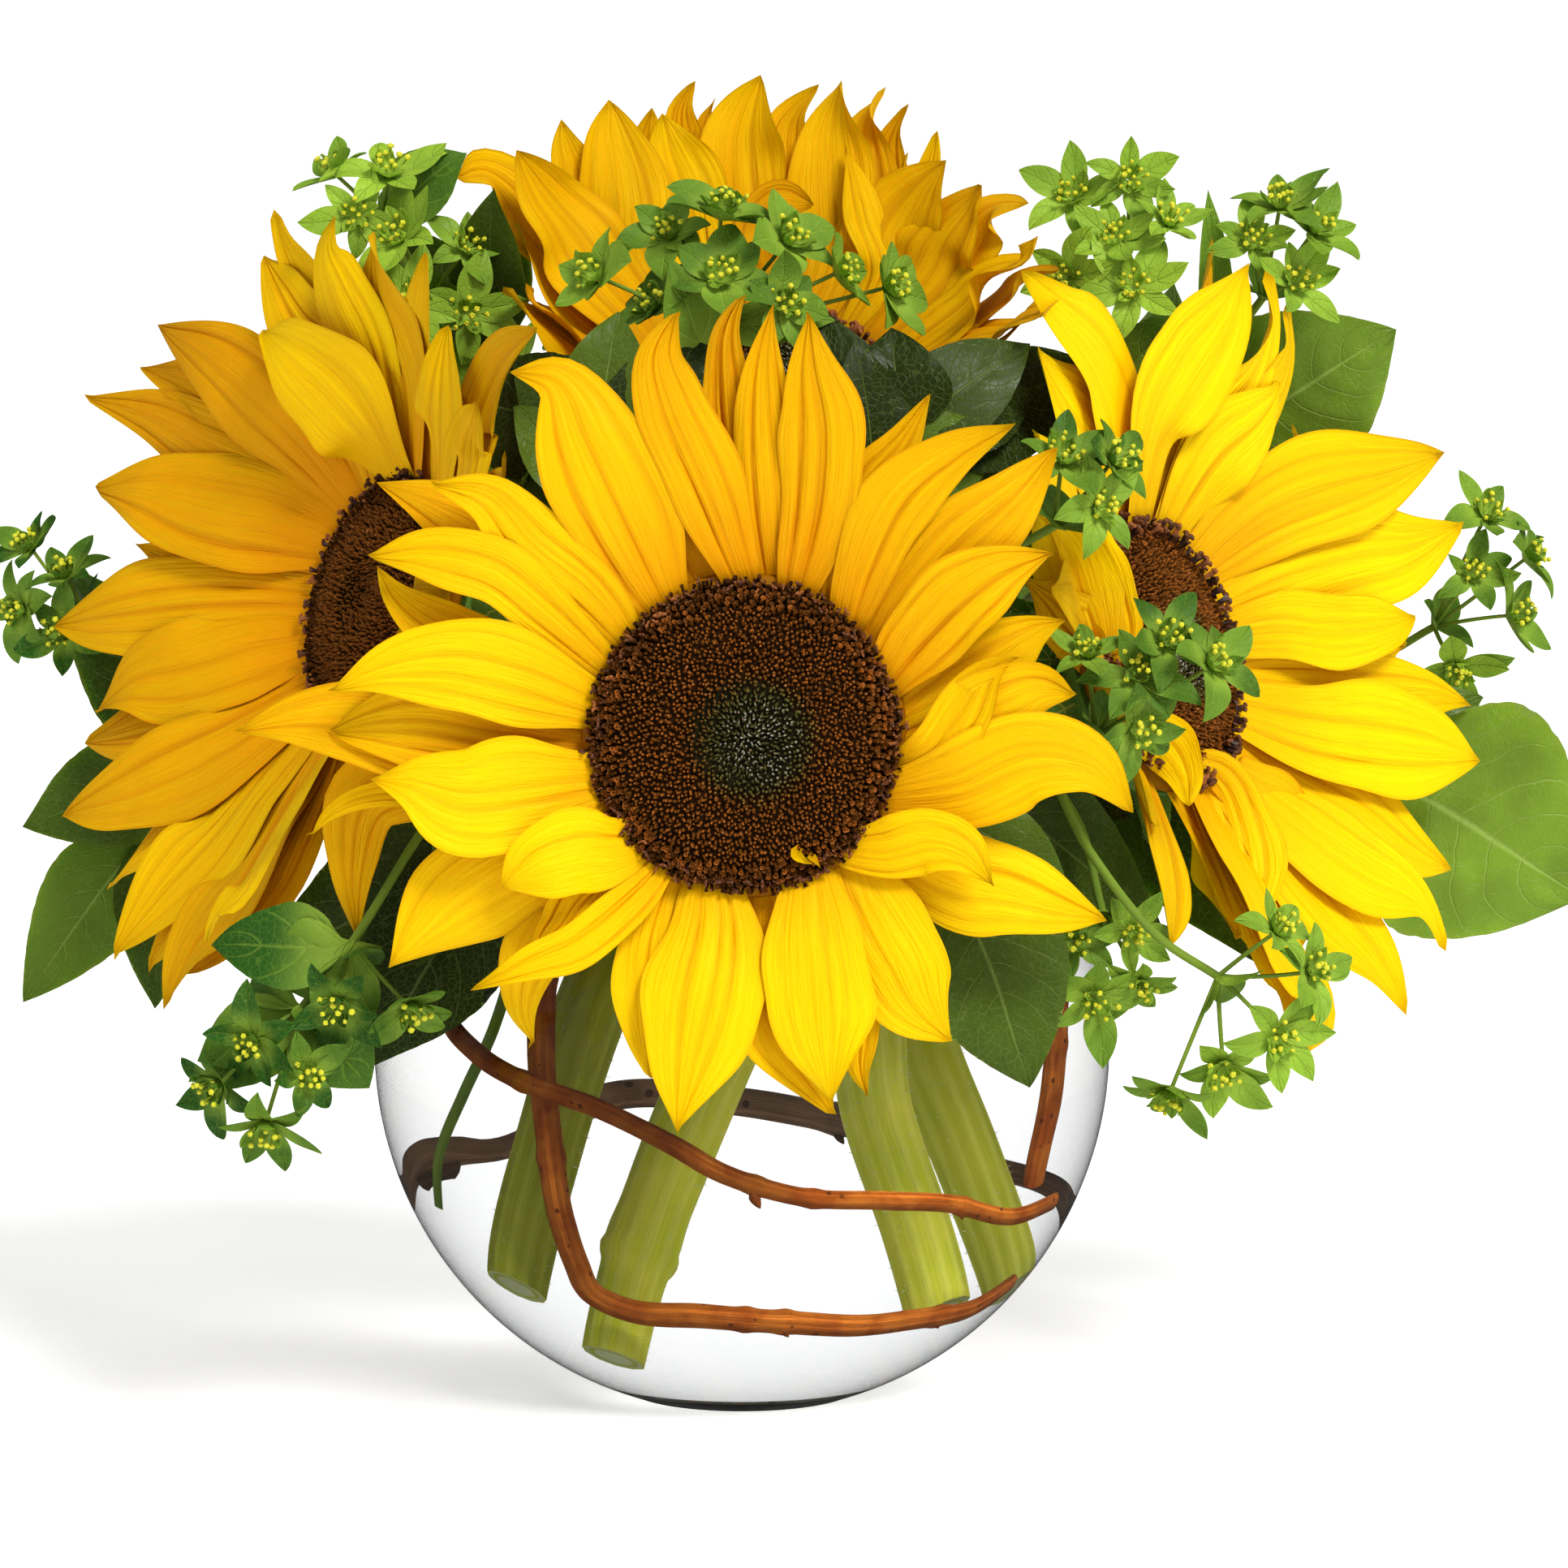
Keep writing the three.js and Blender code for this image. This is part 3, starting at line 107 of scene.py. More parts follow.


# Each bloom: the middle of its ring of petals, the way it faces and which way is up on it. A row of
# petals is one petal of the photo: five points along its midrib, its root first, each x and y in the
# photo's pixels, then its width in pixels, its lift in degrees, its bulge and the height of its layer in
# millimetres, and its tone, from 0, lemon, to 100, ochre. The number before a petal that is placed is its
# turn among them, and its row is given. It is [width, tone, angle of its root, then x, y, z of four
# points on its midrib, the last its tip] in the bloom's own frame, and so is one that is turned, to show
# its face to the side. A hidden petal is [angle, length, width, lift], the lift above the plane of the
# ring. Angles run counter-clockwise. root_turn is how far a petal's root turns after the next point of
# its midrib. shade is [a way in the bloom's frame, how far beyond it a tip lies, the change of its tone],
# and deeper is added to tones that are deep already.
# A petal's tone is partly its own colour, lemon to ochre, and partly painted shade: petals that lie in shadow
# are given deeper tones.
BLOOMS = {
    "front": {
        "centre": [1, -81, 145], "facing": [0.02, -0.99, 0.07], "up": [0, 0, 1], "disc": 30, "dome": 5,
        "bulge": 3, "bract_lift": -14, "bract_step": 1.5, "bract_length": 26, "low_bract_length": 15,
        # shade paints shade on this bloom's upper petals and light on its lower ones.
        "seed": 1, "breadth": 1.2, "root_turn": 0, "shade": [([0, 1, 0], 30, 24), ([0, -1, 0], 20, -28)],
        "petals": rows("""
            922 715 872 600 828 500 812 440 839 378 84 7 3 1.6 55,
            812 738 775 655 722 550 685 470 629 458 125 7 4 1.8 25,
            772 790 722 730 655 670 600 610 530 592 78 7 4 2.2 0,
            765 785 665 700 590 655 530 622 461 592 92 1 2 -0.8 50,
            745 828 675 757 610 705 535 685 450 681 70 7 4 2.2 0,
            730 845 615 805 530 770 487 735 461 695 64 1 2 0 10,
            725 872 640 840 560 818 480 826 402 849 104 8 4 2.2 0,
            690 905 520 905 430 885 370 890 288 902 100 -1 2 -1.8 65,
            725 925 600 905 520 895 455 893 402 902 94 2 2 -0.2 50,
            745 965 650 978 570 985 510 967 457 960 120 9 4 2.2 0,
            700 985 560 975 450 980 402 1000 370 1033 34 -4 1 -2.5 35,
            720 985 560 950 450 985 430 1070 440 1160 90 -14 0 -4 100,
            770 1030 650 1060 580 1095 530 1140 477 1193 114 0 3 -1 45,
            795 1045 750 1045 710 1050 665 1062 618 1092 88 14 5 2.4 0,
            790 1070 710 1110 655 1170 640 1235 652 1298 70 -3 3 -1.4 60,
            775 1065 715 1100 685 1135 670 1165 667 1200 44 6 3 0.6 55,
            815 1075 775 1115 710 1162 650 1187 580 1222 52 7 3 2.4 10,
            880 1072 878 1150 868 1230 850 1320 833 1391 126 5 4 2 30,
            820 1080 800 1150 795 1210 795 1270 803 1330 70 1 2 0.2 35,
            1000 1068 1000 1140 1005 1210 1015 1290 1028 1362 114 6 4 2 30,
            930 1100 932 1180 955 1250 990 1310 1033 1378 96 0 2 -1.2 65,
            1040 1090 1055 1200 1055 1270 1060 1320 1072 1357 54 0 2 -0.6 60,
            1065 1085 1080 1140 1100 1190 1130 1235 1171 1279 112 3 3 0.8 30,
            1040 1060 1090 1045 1140 1032 1190 1045 1228 1090 70 14 4 2.6 20,
            1085 1050 1180 1085 1240 1100 1300 1115 1362 1132 104 1 3 -0.6 30,
            1098 1000 1180 968 1270 935 1345 942 1399 1003 100 6 4 1.8 30,
            1112 930 1180 900 1240 865 1280 848 1327 858 92 5 3 0.8 35,
            1112 900 1180 840 1240 795 1275 775 1313 763 88 0 2 -0.8 30,
            1095 850 1140 780 1190 735 1240 702 1298 682 90 8 4 2 30,
            1075 810 1120 740 1185 668 1250 610 1305 545 90 4 3 0.8 40,
            1050 775 1065 700 1110 615 1175 560 1252 522 80 7 3 2 35,
            1022 755 1035 660 1070 595 1112 548 1147 487 54 4 3 0.6 35,
            985 725 1005 630 1012 530 1003 450 991 380 88 6 3 1.8 45,
            958 722 948 620 940 520 942 440 953 370 70 3 3 0.6 50,
            930 715 908 580 896 490 897 410 921 356 66 0 3 -0.8 75,
            895 715 870 640 850 570 848 520 848 475 112 -2 2 -1.8 75"""),
        "placed": {
            28: "10 40 -20 36 -4 5 42 4 6 47 12 6 53 15 5",
        },
    },
    "left": {
        "centre": [-72, -11, 165], "facing": [-0.819, -0.504, 0.272], "up": [0, 0, 1], "disc": 26, "dome": 5,
        "bulge": 4, "bract_lift": 0, "bract_step": 3.2, "bract_length": 26, "low_bract_length": 26, "seed": 2,
        # shade and deeper paint shade on this bloom, which lies in shadow: its outer petals and its deep
        # tones are made deeper.
        "breadth": 1.35, "root_turn": 0.5, "shade": [([-1, 0, 0], 60, 20)], "deeper": 12,
        "petals": rows("""
            440 500 400 430 370 390 345 350 323 315 62 26 3 0.8 30,
            470 520 420 420 390 370 358 310 350 256 58 24 3 -0.4 35,
            490 540 450 440 415 360 397 310 405 266 54 26 3 1 5,
            510 560 500 470 470 400 455 340 446 284 66 24 3 -0.6 50,
            545 605 543 540 545 480 548 430 550 400 58 20 3 1.6 25,
            575 610 572 570 575 540 585 515 597 495 46 22 2 2 30,
            560 600 590 540 600 500 620 450 658 403 82 14 3 -1 60,
            560 620 585 612 605 602 620 585 632 558 34 20 2 0 75,
            440 600 370 540 310 480 250 435 184 398 84 26 4 1.4 75,
            445 615 370 560 300 510 240 470 170 454 66 24 3 -0.4 85,
            440 640 340 590 250 545 180 510 111 490 80 24 3 0.6 75,
            430 660 340 640 260 625 180 605 106 594 124 28 4 2.4 55,
            415 700 330 705 270 700 220 690 170 668 46 24 3 0.2 35,
            400 740 320 740 240 740 150 755 58 773 90 26 4 1.6 35,
            395 780 310 800 230 820 160 840 107 872 104 28 4 2.2 45,
            390 810 310 850 230 880 160 900 103 916 94 24 4 0.4 55,
            385 830 310 900 240 940 160 975 72 1006 88 27 4 2 45,
            370 850 300 940 240 1000 180 1050 133 1100 64 24 3 -0.4 30,
            380 860 320 960 260 1040 190 1110 128 1178 64 26 3 1 30,
            385 870 330 980 280 1060 220 1130 165 1190 60 24 3 -0.4 40,
            380 860 340 1020 300 1090 270 1130 257 1168 46 32 4 2.6 0,
            390 880 340 1000 290 1090 230 1170 190 1238 78 25 3 0.6 60,
            395 890 370 1000 330 1080 280 1150 235 1205 64 22 3 -1 85"""),
        "placed": {
            0: "19 5 97 -6 34 13 -14 41 19 -23 46 25 -34 50 28",
        },
        "hidden": rows("""
            38 32 14 24, 22 40 15 26, 2 33 14 48, -20 33 14 48, -45 40 15 34, 80 48 14 22, -88 52 14 20,
            -139 56 18 20, 172 58 17 20"""),
    },
    "right": {
        "centre": [84, -7, 154], "facing": [0.823, -0.505, 0.26], "up": [0, 0, 1], "disc": 27, "dome": 5,
        "bulge": 4,
        "bract_lift": -4, "bract_step": 3.2, "bract_length": 26, "low_bract_length": 26, "seed": 3,
        "breadth": 1.3, "root_turn": 0.5,
        "petals": rows("""
            1385 610 1385 520 1360 440 1310 380 1268 331 92 12 4 1.8 0,
            1380 610 1355 550 1320 500 1295 460 1272 425 80 12 3 0.2 10,
            1405 600 1425 520 1465 450 1505 390 1532 326 84 22 4 2 0,
            1420 580 1460 450 1482 390 1492 340 1497 290 42 14 3 -1.4 95,
            1420 600 1490 540 1545 470 1565 400 1553 332 50 24 3 1.4 0,
            1430 610 1520 540 1570 480 1588 430 1572 376 54 24 3 -0.2 40,
            1440 625 1500 570 1550 520 1580 490 1593 462 78 28 4 1.6 0,
            1470 640 1540 620 1580 590 1602 560 1592 522 48 22 3 -0.4 30,
            1470 690 1560 630 1640 600 1710 580 1773 556 108 27 4 2 30,
            1490 740 1590 710 1670 690 1740 680 1797 644 112 25 4 0.8 5,
            1500 770 1580 775 1640 780 1700 775 1745 757 74 28 4 2.2 5,
            1505 840 1620 850 1700 855 1770 855 1818 870 76 24 3 0 10,
            1515 870 1620 900 1710 915 1780 920 1836 932 104 28 4 1.8 0,
            1520 900 1610 960 1680 1000 1740 1040 1800 1068 94 24 3 0.2 20,
            1515 930 1600 1010 1680 1070 1750 1110 1797 1165 114 28 4 2.2 0,
            1520 960 1580 1060 1640 1130 1700 1190 1745 1244 74 24 3 0.4 20,
            1500 960 1545 1080 1590 1170 1630 1240 1624 1296 64 24 3 1.4 30,
            1490 980 1530 1090 1570 1170 1598 1220 1596 1276 44 22 3 -0.4 30"""),
        "placed": {
            18: "13 5 -58 30 -42 3 36 -51 2 32 -60 2 22 -69 2",
            19: "13 60 -75 8 -29 8 17 -34 9 24 -38 10 33 -44 10",
        },
        "turned": rows("""
            10 0 172 -26 4 7 -31 12 10 -35 22 12 -31 31 13, 13 5 178 -30 5 5 -37 13 8 -41 23 9 -50 31 9,
            11 35 184 -33 6 4 -39 9 5 -44 13 5 -51 18 5, 9 10 -150 -20 -15 6 -15 -20 8 -14 -25 9 -15 -32 9,
            15 0 -92 3 -28 6 1 -38 9 -3 -50 10 -11 -61 10"""),
        "hidden": rows("""
            180 32 14 40, 163 36 15 27, 145 32 15 22, 133 38 15 18, -126 48 15 19, -142 30 15 27,
            -160 32 14 40, 70 50 16 20, -8 56 18 20, -94 48 15 22"""),
    },
    "top": {
        "centre": [5, 14, 208], "facing": [0, -0.5, 0.866], "up": [0, 1, 0], "disc": 23, "dome": 5,
        "bulge": -4,
        "bract_lift": 14, "bract_step": 3.2, "bract_length": 26, "low_bract_length": 26, "seed": 4,
        "breadth": 1.35, "root_turn": 1, "curl": 0.3, "blunt": 0.9,
        "petals": rows("""
            740 390 665 290 632 240 600 214 560 217 46 42 -2 -0.6 40,
            765 405 735 340 700 285 665 235 631 188 112 50 -3 1.6 45,
            760 430 720 410 690 390 665 370 648 350 74 42 -2 -0.4 100,
            770 380 735 290 715 230 700 180 693 144 60 46 -3 -0.4 35,
            790 400 775 310 765 240 755 170 752 119 88 50 -3 1.6 35,
            810 400 800 320 800 250 800 190 802 136 64 47 -3 0.4 45,
            870 380 860 300 845 230 830 180 817 140 70 51 -3 2 5,
            850 330 850 250 845 190 840 140 857 100 54 45 -3 -0.6 65,
            880 330 878 260 875 200 870 150 883 116 42 45 -3 -0.6 85,
            925 380 918 300 915 230 915 160 940 92 82 50 -3 1.4 30,
            985 380 975 300 968 220 975 150 1008 103 64 46 -3 0 50,
            1030 380 1028 300 1025 230 1025 160 1035 97 82 50 -3 1.6 35,
            1080 380 1070 300 1065 220 1065 150 1090 105 66 46 -3 -0.2 55,
            1110 380 1100 300 1090 230 1095 170 1121 130 54 44 -3 -0.8 75,
            1110 400 1085 330 1068 270 1055 220 1042 175 40 52 -3 2.4 15,
            1100 400 1095 330 1110 280 1140 230 1168 197 110 49 -3 1.2 50,
            1110 390 1120 300 1140 240 1150 200 1158 160 34 45 -3 -0.4 20,
            1110 410 1130 340 1160 290 1190 250 1213 232 66 50 -3 1.8 60,
            1115 420 1150 360 1190 300 1225 258 1267 243 60 46 -2 0 50,
            1130 430 1180 380 1220 345 1255 325 1280 290 54 46 -2 1 35,
            1140 440 1190 400 1230 370 1270 340 1303 330 40 40 -2 -0.6 80,
            1140 440 1190 420 1230 405 1260 390 1287 385 54 44 -2 0.8 75,
            960 380 950 330 942 285 955 248 1000 250 62 60 -3 3 85"""),
        "hidden": rows("""
            183 40 16 41, -35 38 16 45, -60 28 15 50, -90 26 16 46, -118 30 15 50, -138 36 15 44,
            -157 37 16 40, -15 40 16 38, 92 46 17 42, 128 44 17 42, 60 44 17 42, 160 44 17 42,
            30 42 17 42"""),
    },
}

# Each sunflower stem, from its cut end in the water to the back of its bloom.
SUNFLOWER_STEMS = {
    "front": {
        "radius": 6.2, "tone": 0.16,
        "points": rows("""
            -43 -34 31, -34.5 -29.5 56, -24 -23 86, -14 -24 106, -6 -30 123, -2.5 -38 136, 0 -50 142.5"""),
    },
    "right": {
        "radius": 6, "tone": 0.75,
        "points": rows("""
            -24.5 -34 17, -19 -31 36, -15.5 -28 46, -1.5 -20 78.5, 10 -18 98, 24 -12 117, 36 1 135,
            55 8 145.5"""),
    },
    "left": {
        "radius": 5.8, "tone": 0.6,
        "points": rows("""
            34.5 -18 28, 29 -16 44, 21.5 -10 64, 19.5 -6 79, 11 2 98, -6 8 118, -26 9 138, -45 5.5 155"""),
    },
    "top": {
        "radius": 5, "tone": 0.45,
        "points": rows("""
            41.5 10 33, 36.8 10 45.2, 32.4 10 57, 26.5 12 72.5, 23 20 98, 17 26 120, 10 30 145, 6 28 172"""),
    },
}

# Each willow twig lies round the inside of the bowl. A bud is [share along the twig, size].
TWIGS = {
    "front_high": {
        "radius": 2,
        "points": rows("""
            -42 -24 119, -54 -32 97, -56 -38 84, -50 -46 77.5, -41.2 -54.9 73.5, -26.5 -62.7 69,
            -12.7 -66.2 62.7, -2.9 -66.4 57.3, 11.8 -64.3 52.8, 27.4 -58.8 51.4, 40.2 -51 49.5,
            51.5 -36.6 44.6, 58.9 -20.6 45.5"""),
        "buds": rows("0.6 1.8, 0.83 0.8"),
    },
    "front_low": {
        "radius": 2.8,
        "points": rows("""
            -32 -28 117, -36 -39 100, -37 -47 79, -36 -52.5 63, -34.3 -51.9 47, -31.1 -48.9 37.1,
            -28.4 -46 31.9, -20.5 -46.6 28.4, -7.1 -49.9 28, 7.6 -48.7 26.6, 22.3 -42.6 24.7,
            33.9 -35.2 25, 44 -23.5 26, 49.9 -13.7 30"""),
        "buds": rows("0.7 1, 0.88 0.9"),
    },
    "back": {
        "radius": 2.2,
        "points": rows("""
            -40 27 117, -49 34 97, -49 46 70, -39 55 57, -28.6 59 52, -15.8 64 56.7, -1.5 65.6 55.8,
            8.9 64.8 54.3, 19.7 62.1 52.3, 27.6 58.1 49.8, 41.4 48.3 49.4"""),
        "buds": rows("0.5 1, 0.78 0.9"),
        "thickness": rows("0 0.6, 0.28 0.24, 0.44 0.28, 0.58 0.8, 0.82 0.8, 1 0.35"),
    },
    "right_upright": {
        "radius": 3,
        "points": rows("41 -16 124, 50 -22 110, 59 -26 88, 59 -31 70, 56.5 -33 57, 55 -30.5 51"),
        "buds": rows("0.55 1.2"),
    },
}
VIEWER = [0.1, -1, 0.3]
BEHIND = [0, 1, 0.3]

# A spray turns its heads to the viewer, or else towards what it says.
# A head of a spray is [the point of its stem that it springs from, then x, y, z]. A leaf, here and below, is
# [that point, x, y, z of its tip, x, y, z of the way it faces, width, sag, tone from 0, dark, to 1, light];
# its tone is drawn at random where it has none.
SPRAYS = {
    "top_left": {
        "stem": through_mouth(160, "-46 22 165, -54 20 194, -66 18 226, -75 18 243"),
        "heads": rows("""
            6 -84 16 252, 6 -73 12 252, 6 -79 10 244, 5 -70 8 239, 5 -57 12 237, 5 -69 5 225, 5 -57 9 224,
            5 -65 12 213"""),
        "leaves": rows("6 -57 14 257 0 -0.9 0.5 16.5 3 0.12"),
        "tone": 0.6, "seed": 31,
    },
    "top_middle": {
        "stem": through_mouth(-67, "12 -40 165, 4 -40 190, -5 -36 212, -5 -34 222"),
        "heads": rows("""
            6 -28 -30 232, 6 -17 -32 226, 6 -14 -28 240, 6 -4 -33 244, 6 -4 -41 232, 6 9 -33 239, 6 8 -41 227,
            6 19 -32 233, 6 29 -28 230"""),
        "leaves": rows("5 -14 -44 236 0 -1 0.3 12, 6 19 -40 224 0 -1 0.4 10"),
        "tone": 0.35, "seed": 32, "breadth": 1.05,
    },
    "top_right": {
        "stem": through_mouth(48, "46 46 165, 66 36 190, 79 28 210, 81 22 226"),
        "heads": rows("6 69 20 247, 6 80 17 251, 6 88 12 242, 6 77 13 239, 6 68 15 231, 6 81 9 229"),
        "leaves": rows("5 92 18 224 0.3 -0.9 0.4 11"),
        "tone": 0.75, "seed": 33,
    },
    "far_right_top": {
        "stem": through_mouth(34, "57 44 165, 80 52 188, 100 48 212, 110 42 226"),
        "heads": rows("6 113 36 245, 6 107 34 238, 6 120 36 240, 6 116 34 229"),
        "leaves": rows("5 99 42 249 0.2 -1 0 8"),
        "tone": 0.5, "seed": 34,
    },
    "right": {
        "stem": through_mouth(27, "72 48 148, 105 66 146, 135 72 146, 150 70 154"),
        "heads": rows("6 160 64 178, 6 169 66 169, 6 157 61 166, 6 165 62 157, 6 154 62 146"),
        "tone": 0.45, "seed": 35,
    },
    "over_right_disc": {
        "stem": through_mouth(-38, "50 -44 142, 61 -56 139, 70 -62 143"),
        "heads": rows("5 68 -67 159, 5 78 -68 155, 5 83 -66 162, 5 92 -66 157, 5 77 -70 145"),
        "tone": 0.3, "seed": 36,
    },
    "right_inner_low": {
        "stem": through_mouth(-29, "55 -40 139, 67 -48 125, 72 -51 107"),
        "heads": rows("5 66 -58 102, 5 77 -58 104, 5 79 -58 94, 5 70 -60 91"),
        "tone": 0.35, "seed": 37,
    },
    "right_low": {
        "stem": through_mouth(-19, "58 -42 140, 69 -60 120, 82 -66 104, 94 -67 96"),
        "heads": rows("6 105 -70 105, 6 112 -68 97, 6 105 -72 85, 6 95 -70 79, 6 85 -68 74"),
        "tone": 0.6, "seed": 38,
    },
    "between_front_and_right": {
        "stem": through_mouth(-56, "35 -50 165, 52 -54 178, 62 -56 184"),
        "heads": rows("5 63 -62 197, 5 73 -60 197, 5 70 -64 188"),
        "tone": 0.3, "seed": 39,
    },
    "left_low": {
        "stem": [
            *rows("-57 -24 45, -55.5 -25 55, -49 -25.5 68, -43 -25 80, -36 -22 108"),
            around(-149, 40.5, 130), around(-145, 47, 142),
            *rows("-52 -43 138, -64 -60 122, -76 -68 103, -86 -67 90"),
        ],
        "heads": rows("""
            9 -78 -74 92, 9 -65 -71 91, 10 -95 -72 84, 10 -85 -74 78, 10 -102 -69 75, 10 -93 -72 68"""),
        "leaves": rows("""
            9 -79 -69 78 0.1 -1 0.2 14, 10 -108 -62 78 -0.2 -1 0.3 15, 9 -92 -64 94 0 -1 0.2 18,
            10 -73 -66 73 0.1 -1 0.2 18, 10 -107 -62 73 -0.1 -1 0.2 17, 9 -105 -62 101 -0.1 -1 0.3 18 3 0,
            10 -100 -58 88 -0.1 -1 0.1 19 3 0.1"""),
        "tone": 0.12, "seed": 40,
    },
    "left": {
        "stem": through_mouth(170, "-70 30 142, -105 52 143, -130 58 148, -141 58 156"),
        "heads": rows("6 -153 56 172, 6 -145 54 166, 6 -155 58 159, 6 -146 54 154"),
        "tone": 0.12, "seed": 41,
    },
    "back_left": {
        "stem": through_mouth(118, "-26 66 170, -32 74 190, -36 78 202"),
        "heads": rows("5 -49 82 210, 5 -37 86 216, 5 -25 84 208, 5 -43 89 200, 5 -30 90 198"),
        "towards": BEHIND, "tone": 0.4, "seed": 42,
    },
}

LEAFY_STEMS = {
    "left": {
        "stem": through_mouth(179, "-68 24 132, -96 52 127, -118 66 122, -128 66 112"),
        "leaves": rows("""
            5 -148 70 169 0.2 -1 0 26 4 0.1, 5 -157 62 112 0 -1 0.3 25 4 0.2, 6 -157 60 73 0 -1 0.2 24 4 0.4,
            6 -128 62 71 0.2 -1 0.2 19 4"""),
    },
    "left_low": {
        "stem": through_mouth(-128, "-40 -44 142, -47 -50 132, -50 -51 122"),
        "leaves": rows("""
            5 -73 -45 74 -0.25 -1 0.1 31 3 0, 4 -58 -58 102 0.1 -1 0.3 20,
            4 -77 -20 113 -0.1 -1 0.2 26 3 0.05, 5 -73 -36 84 -0.2 -1 0.2 26 3 0.1,
            5 -97 -30 91 -0.1 -1 0.3 30 3 0.1, 5 -86 -24 106 -0.1 -1 0.1 28 3 0"""),
    },
    "right_low": {
        "stem": through_mouth(-47, "36 -50 141, 40 -62 128, 42 -67 114"),
        "leaves": rows("""
            5 58 -68 74 0.15 -1 0.1 31 3 0.22, 4 66 -62 112 0.2 -1 0.4 16 2,
            3 86 -36 101 0.1 -1 0.2 26 3 0.15, 3 80 -30 123 0.1 -1 0.4 22 3 0"""),
    },
    "right": {
        "stem": through_mouth(20, "72 30 138, 104 46 132, 128 54 127, 136 54 124"),
        "leaves": rows("""
            6 182 52 97 -0.1 -1 0.1 56 6 0.72, 5 160 58 140 0 -1 0.3 22, 3 106 4 89 0 -1 0.1 24 3 0.1"""),
    },
    "right_high": {
        "stem": through_mouth(41, "60 54 160, 84 60 182, 102 56 196"),
        "leaves": rows("5 139 46 219 0 -1 0.1 38 4 0.6, 4 92 62 229 0 -1 0.2 22 4"),
    },
    "left_high": {
        "stem": through_mouth(151, "-44 36 165, -50 32 190, -54 28 208, -53 26 216"),
        "leaves": rows("""
            6 -50 26 251 0 -1 0 15, 6 -51 5 249 -0.3 -1 0 18 3 0.15, 5 -74 32 243 0 -1 0.1 25 3 0.1"""),
    },
    "middle_right": {
        "stem": through_mouth(-77, "16 -46 165, 26 -46 188, 32 -44 200"),
        "leaves": rows("""
            5 58 -32 220 0 -0.9 0.4 20 3 0.1, 4 24 -44 221 0.1 -1 0.2 17 3 0, 5 52 -42 200 0 -1 0.3 12 2,
            4 16 -38 227 0 -1 0.2 24 3 0, 5 62 -14 217 0 -1 0.2 24 3 0, 5 53 -30 197 0 -1 0.2 20 3 0.3,
            5 64 -12 202 0 -1 0.2 22 3 0, 5 73 -4 214 0 -1 0.1 25 3 0, 4 43 -34 208 0 -1 0.1 24 3 0,
            5 30 -40 223 0 -1 0.2 22 3 0, 4 63 -25 190 0 -1 0.1 22 3 0.1"""),
    },
    "middle_left": {
        "stem": through_mouth(-113, "-18 -44 165, -26 -44 188, -29 -42 201"),
        "leaves": rows("""
            5 -24 -40 226 0 -1 0.2 18, 4 -46 -36 207 0 -0.9 0.5 16, 4 -5 -38 227 0 -1 0.2 22 3 0,
            4 -52 -20 199 0 -0.9 0.4 20 3 0.25, 5 -45 -15 217 0 -1 0.2 18 3 0.1,
            5 -59 -4 208 0 -1 0.1 27 3 0"""),
    },
    "back_left": {
        "stem": through_mouth(132, "-48 66 150, -62 80 148, -68 84 140"),
        "leaves": rows("3 -64 98 184 0 1 0.3 29 5, 4 -104 86 150 0 1 0.4 27 5, 5 -78 92 96 0 1 0.1 29 5"),
    },
    "back_middle": {
        "stem": through_mouth(100, "-8 70 146, -8 84 138, -6 88 128"),
        "leaves": rows("3 -8 102 178 0 1 0.3 29 5, 4 30 96 122 0.2 1 0.1 27 5, 5 -22 94 84 0 1 0.1 29 5"),
    },
    "back_right": {
        "stem": through_mouth(63, "46 66 148, 62 78 144, 70 82 136"),
        "leaves": rows("3 74 90 184 0.1 1 0.3 29 5, 4 106 84 142 0.1 1 0.4 27 5, 5 74 90 90 0.1 1 0.1 29 5"),
    },
}

# ---------------------------------------------------------------- shapes


def draw(index, seed):
    """A repeatable draw between 0 and 1."""
    x = math.sin(index * 12.9898 + seed * 78.233) * 43758.5453
    return x - math.floor(x)


def unit(rows):
    """The same directions, each one long."""
    rows = np.asarray(rows, float)
    return rows / np.maximum(np.linalg.norm(rows, axis=-1, keepdims=True), 1e-9)


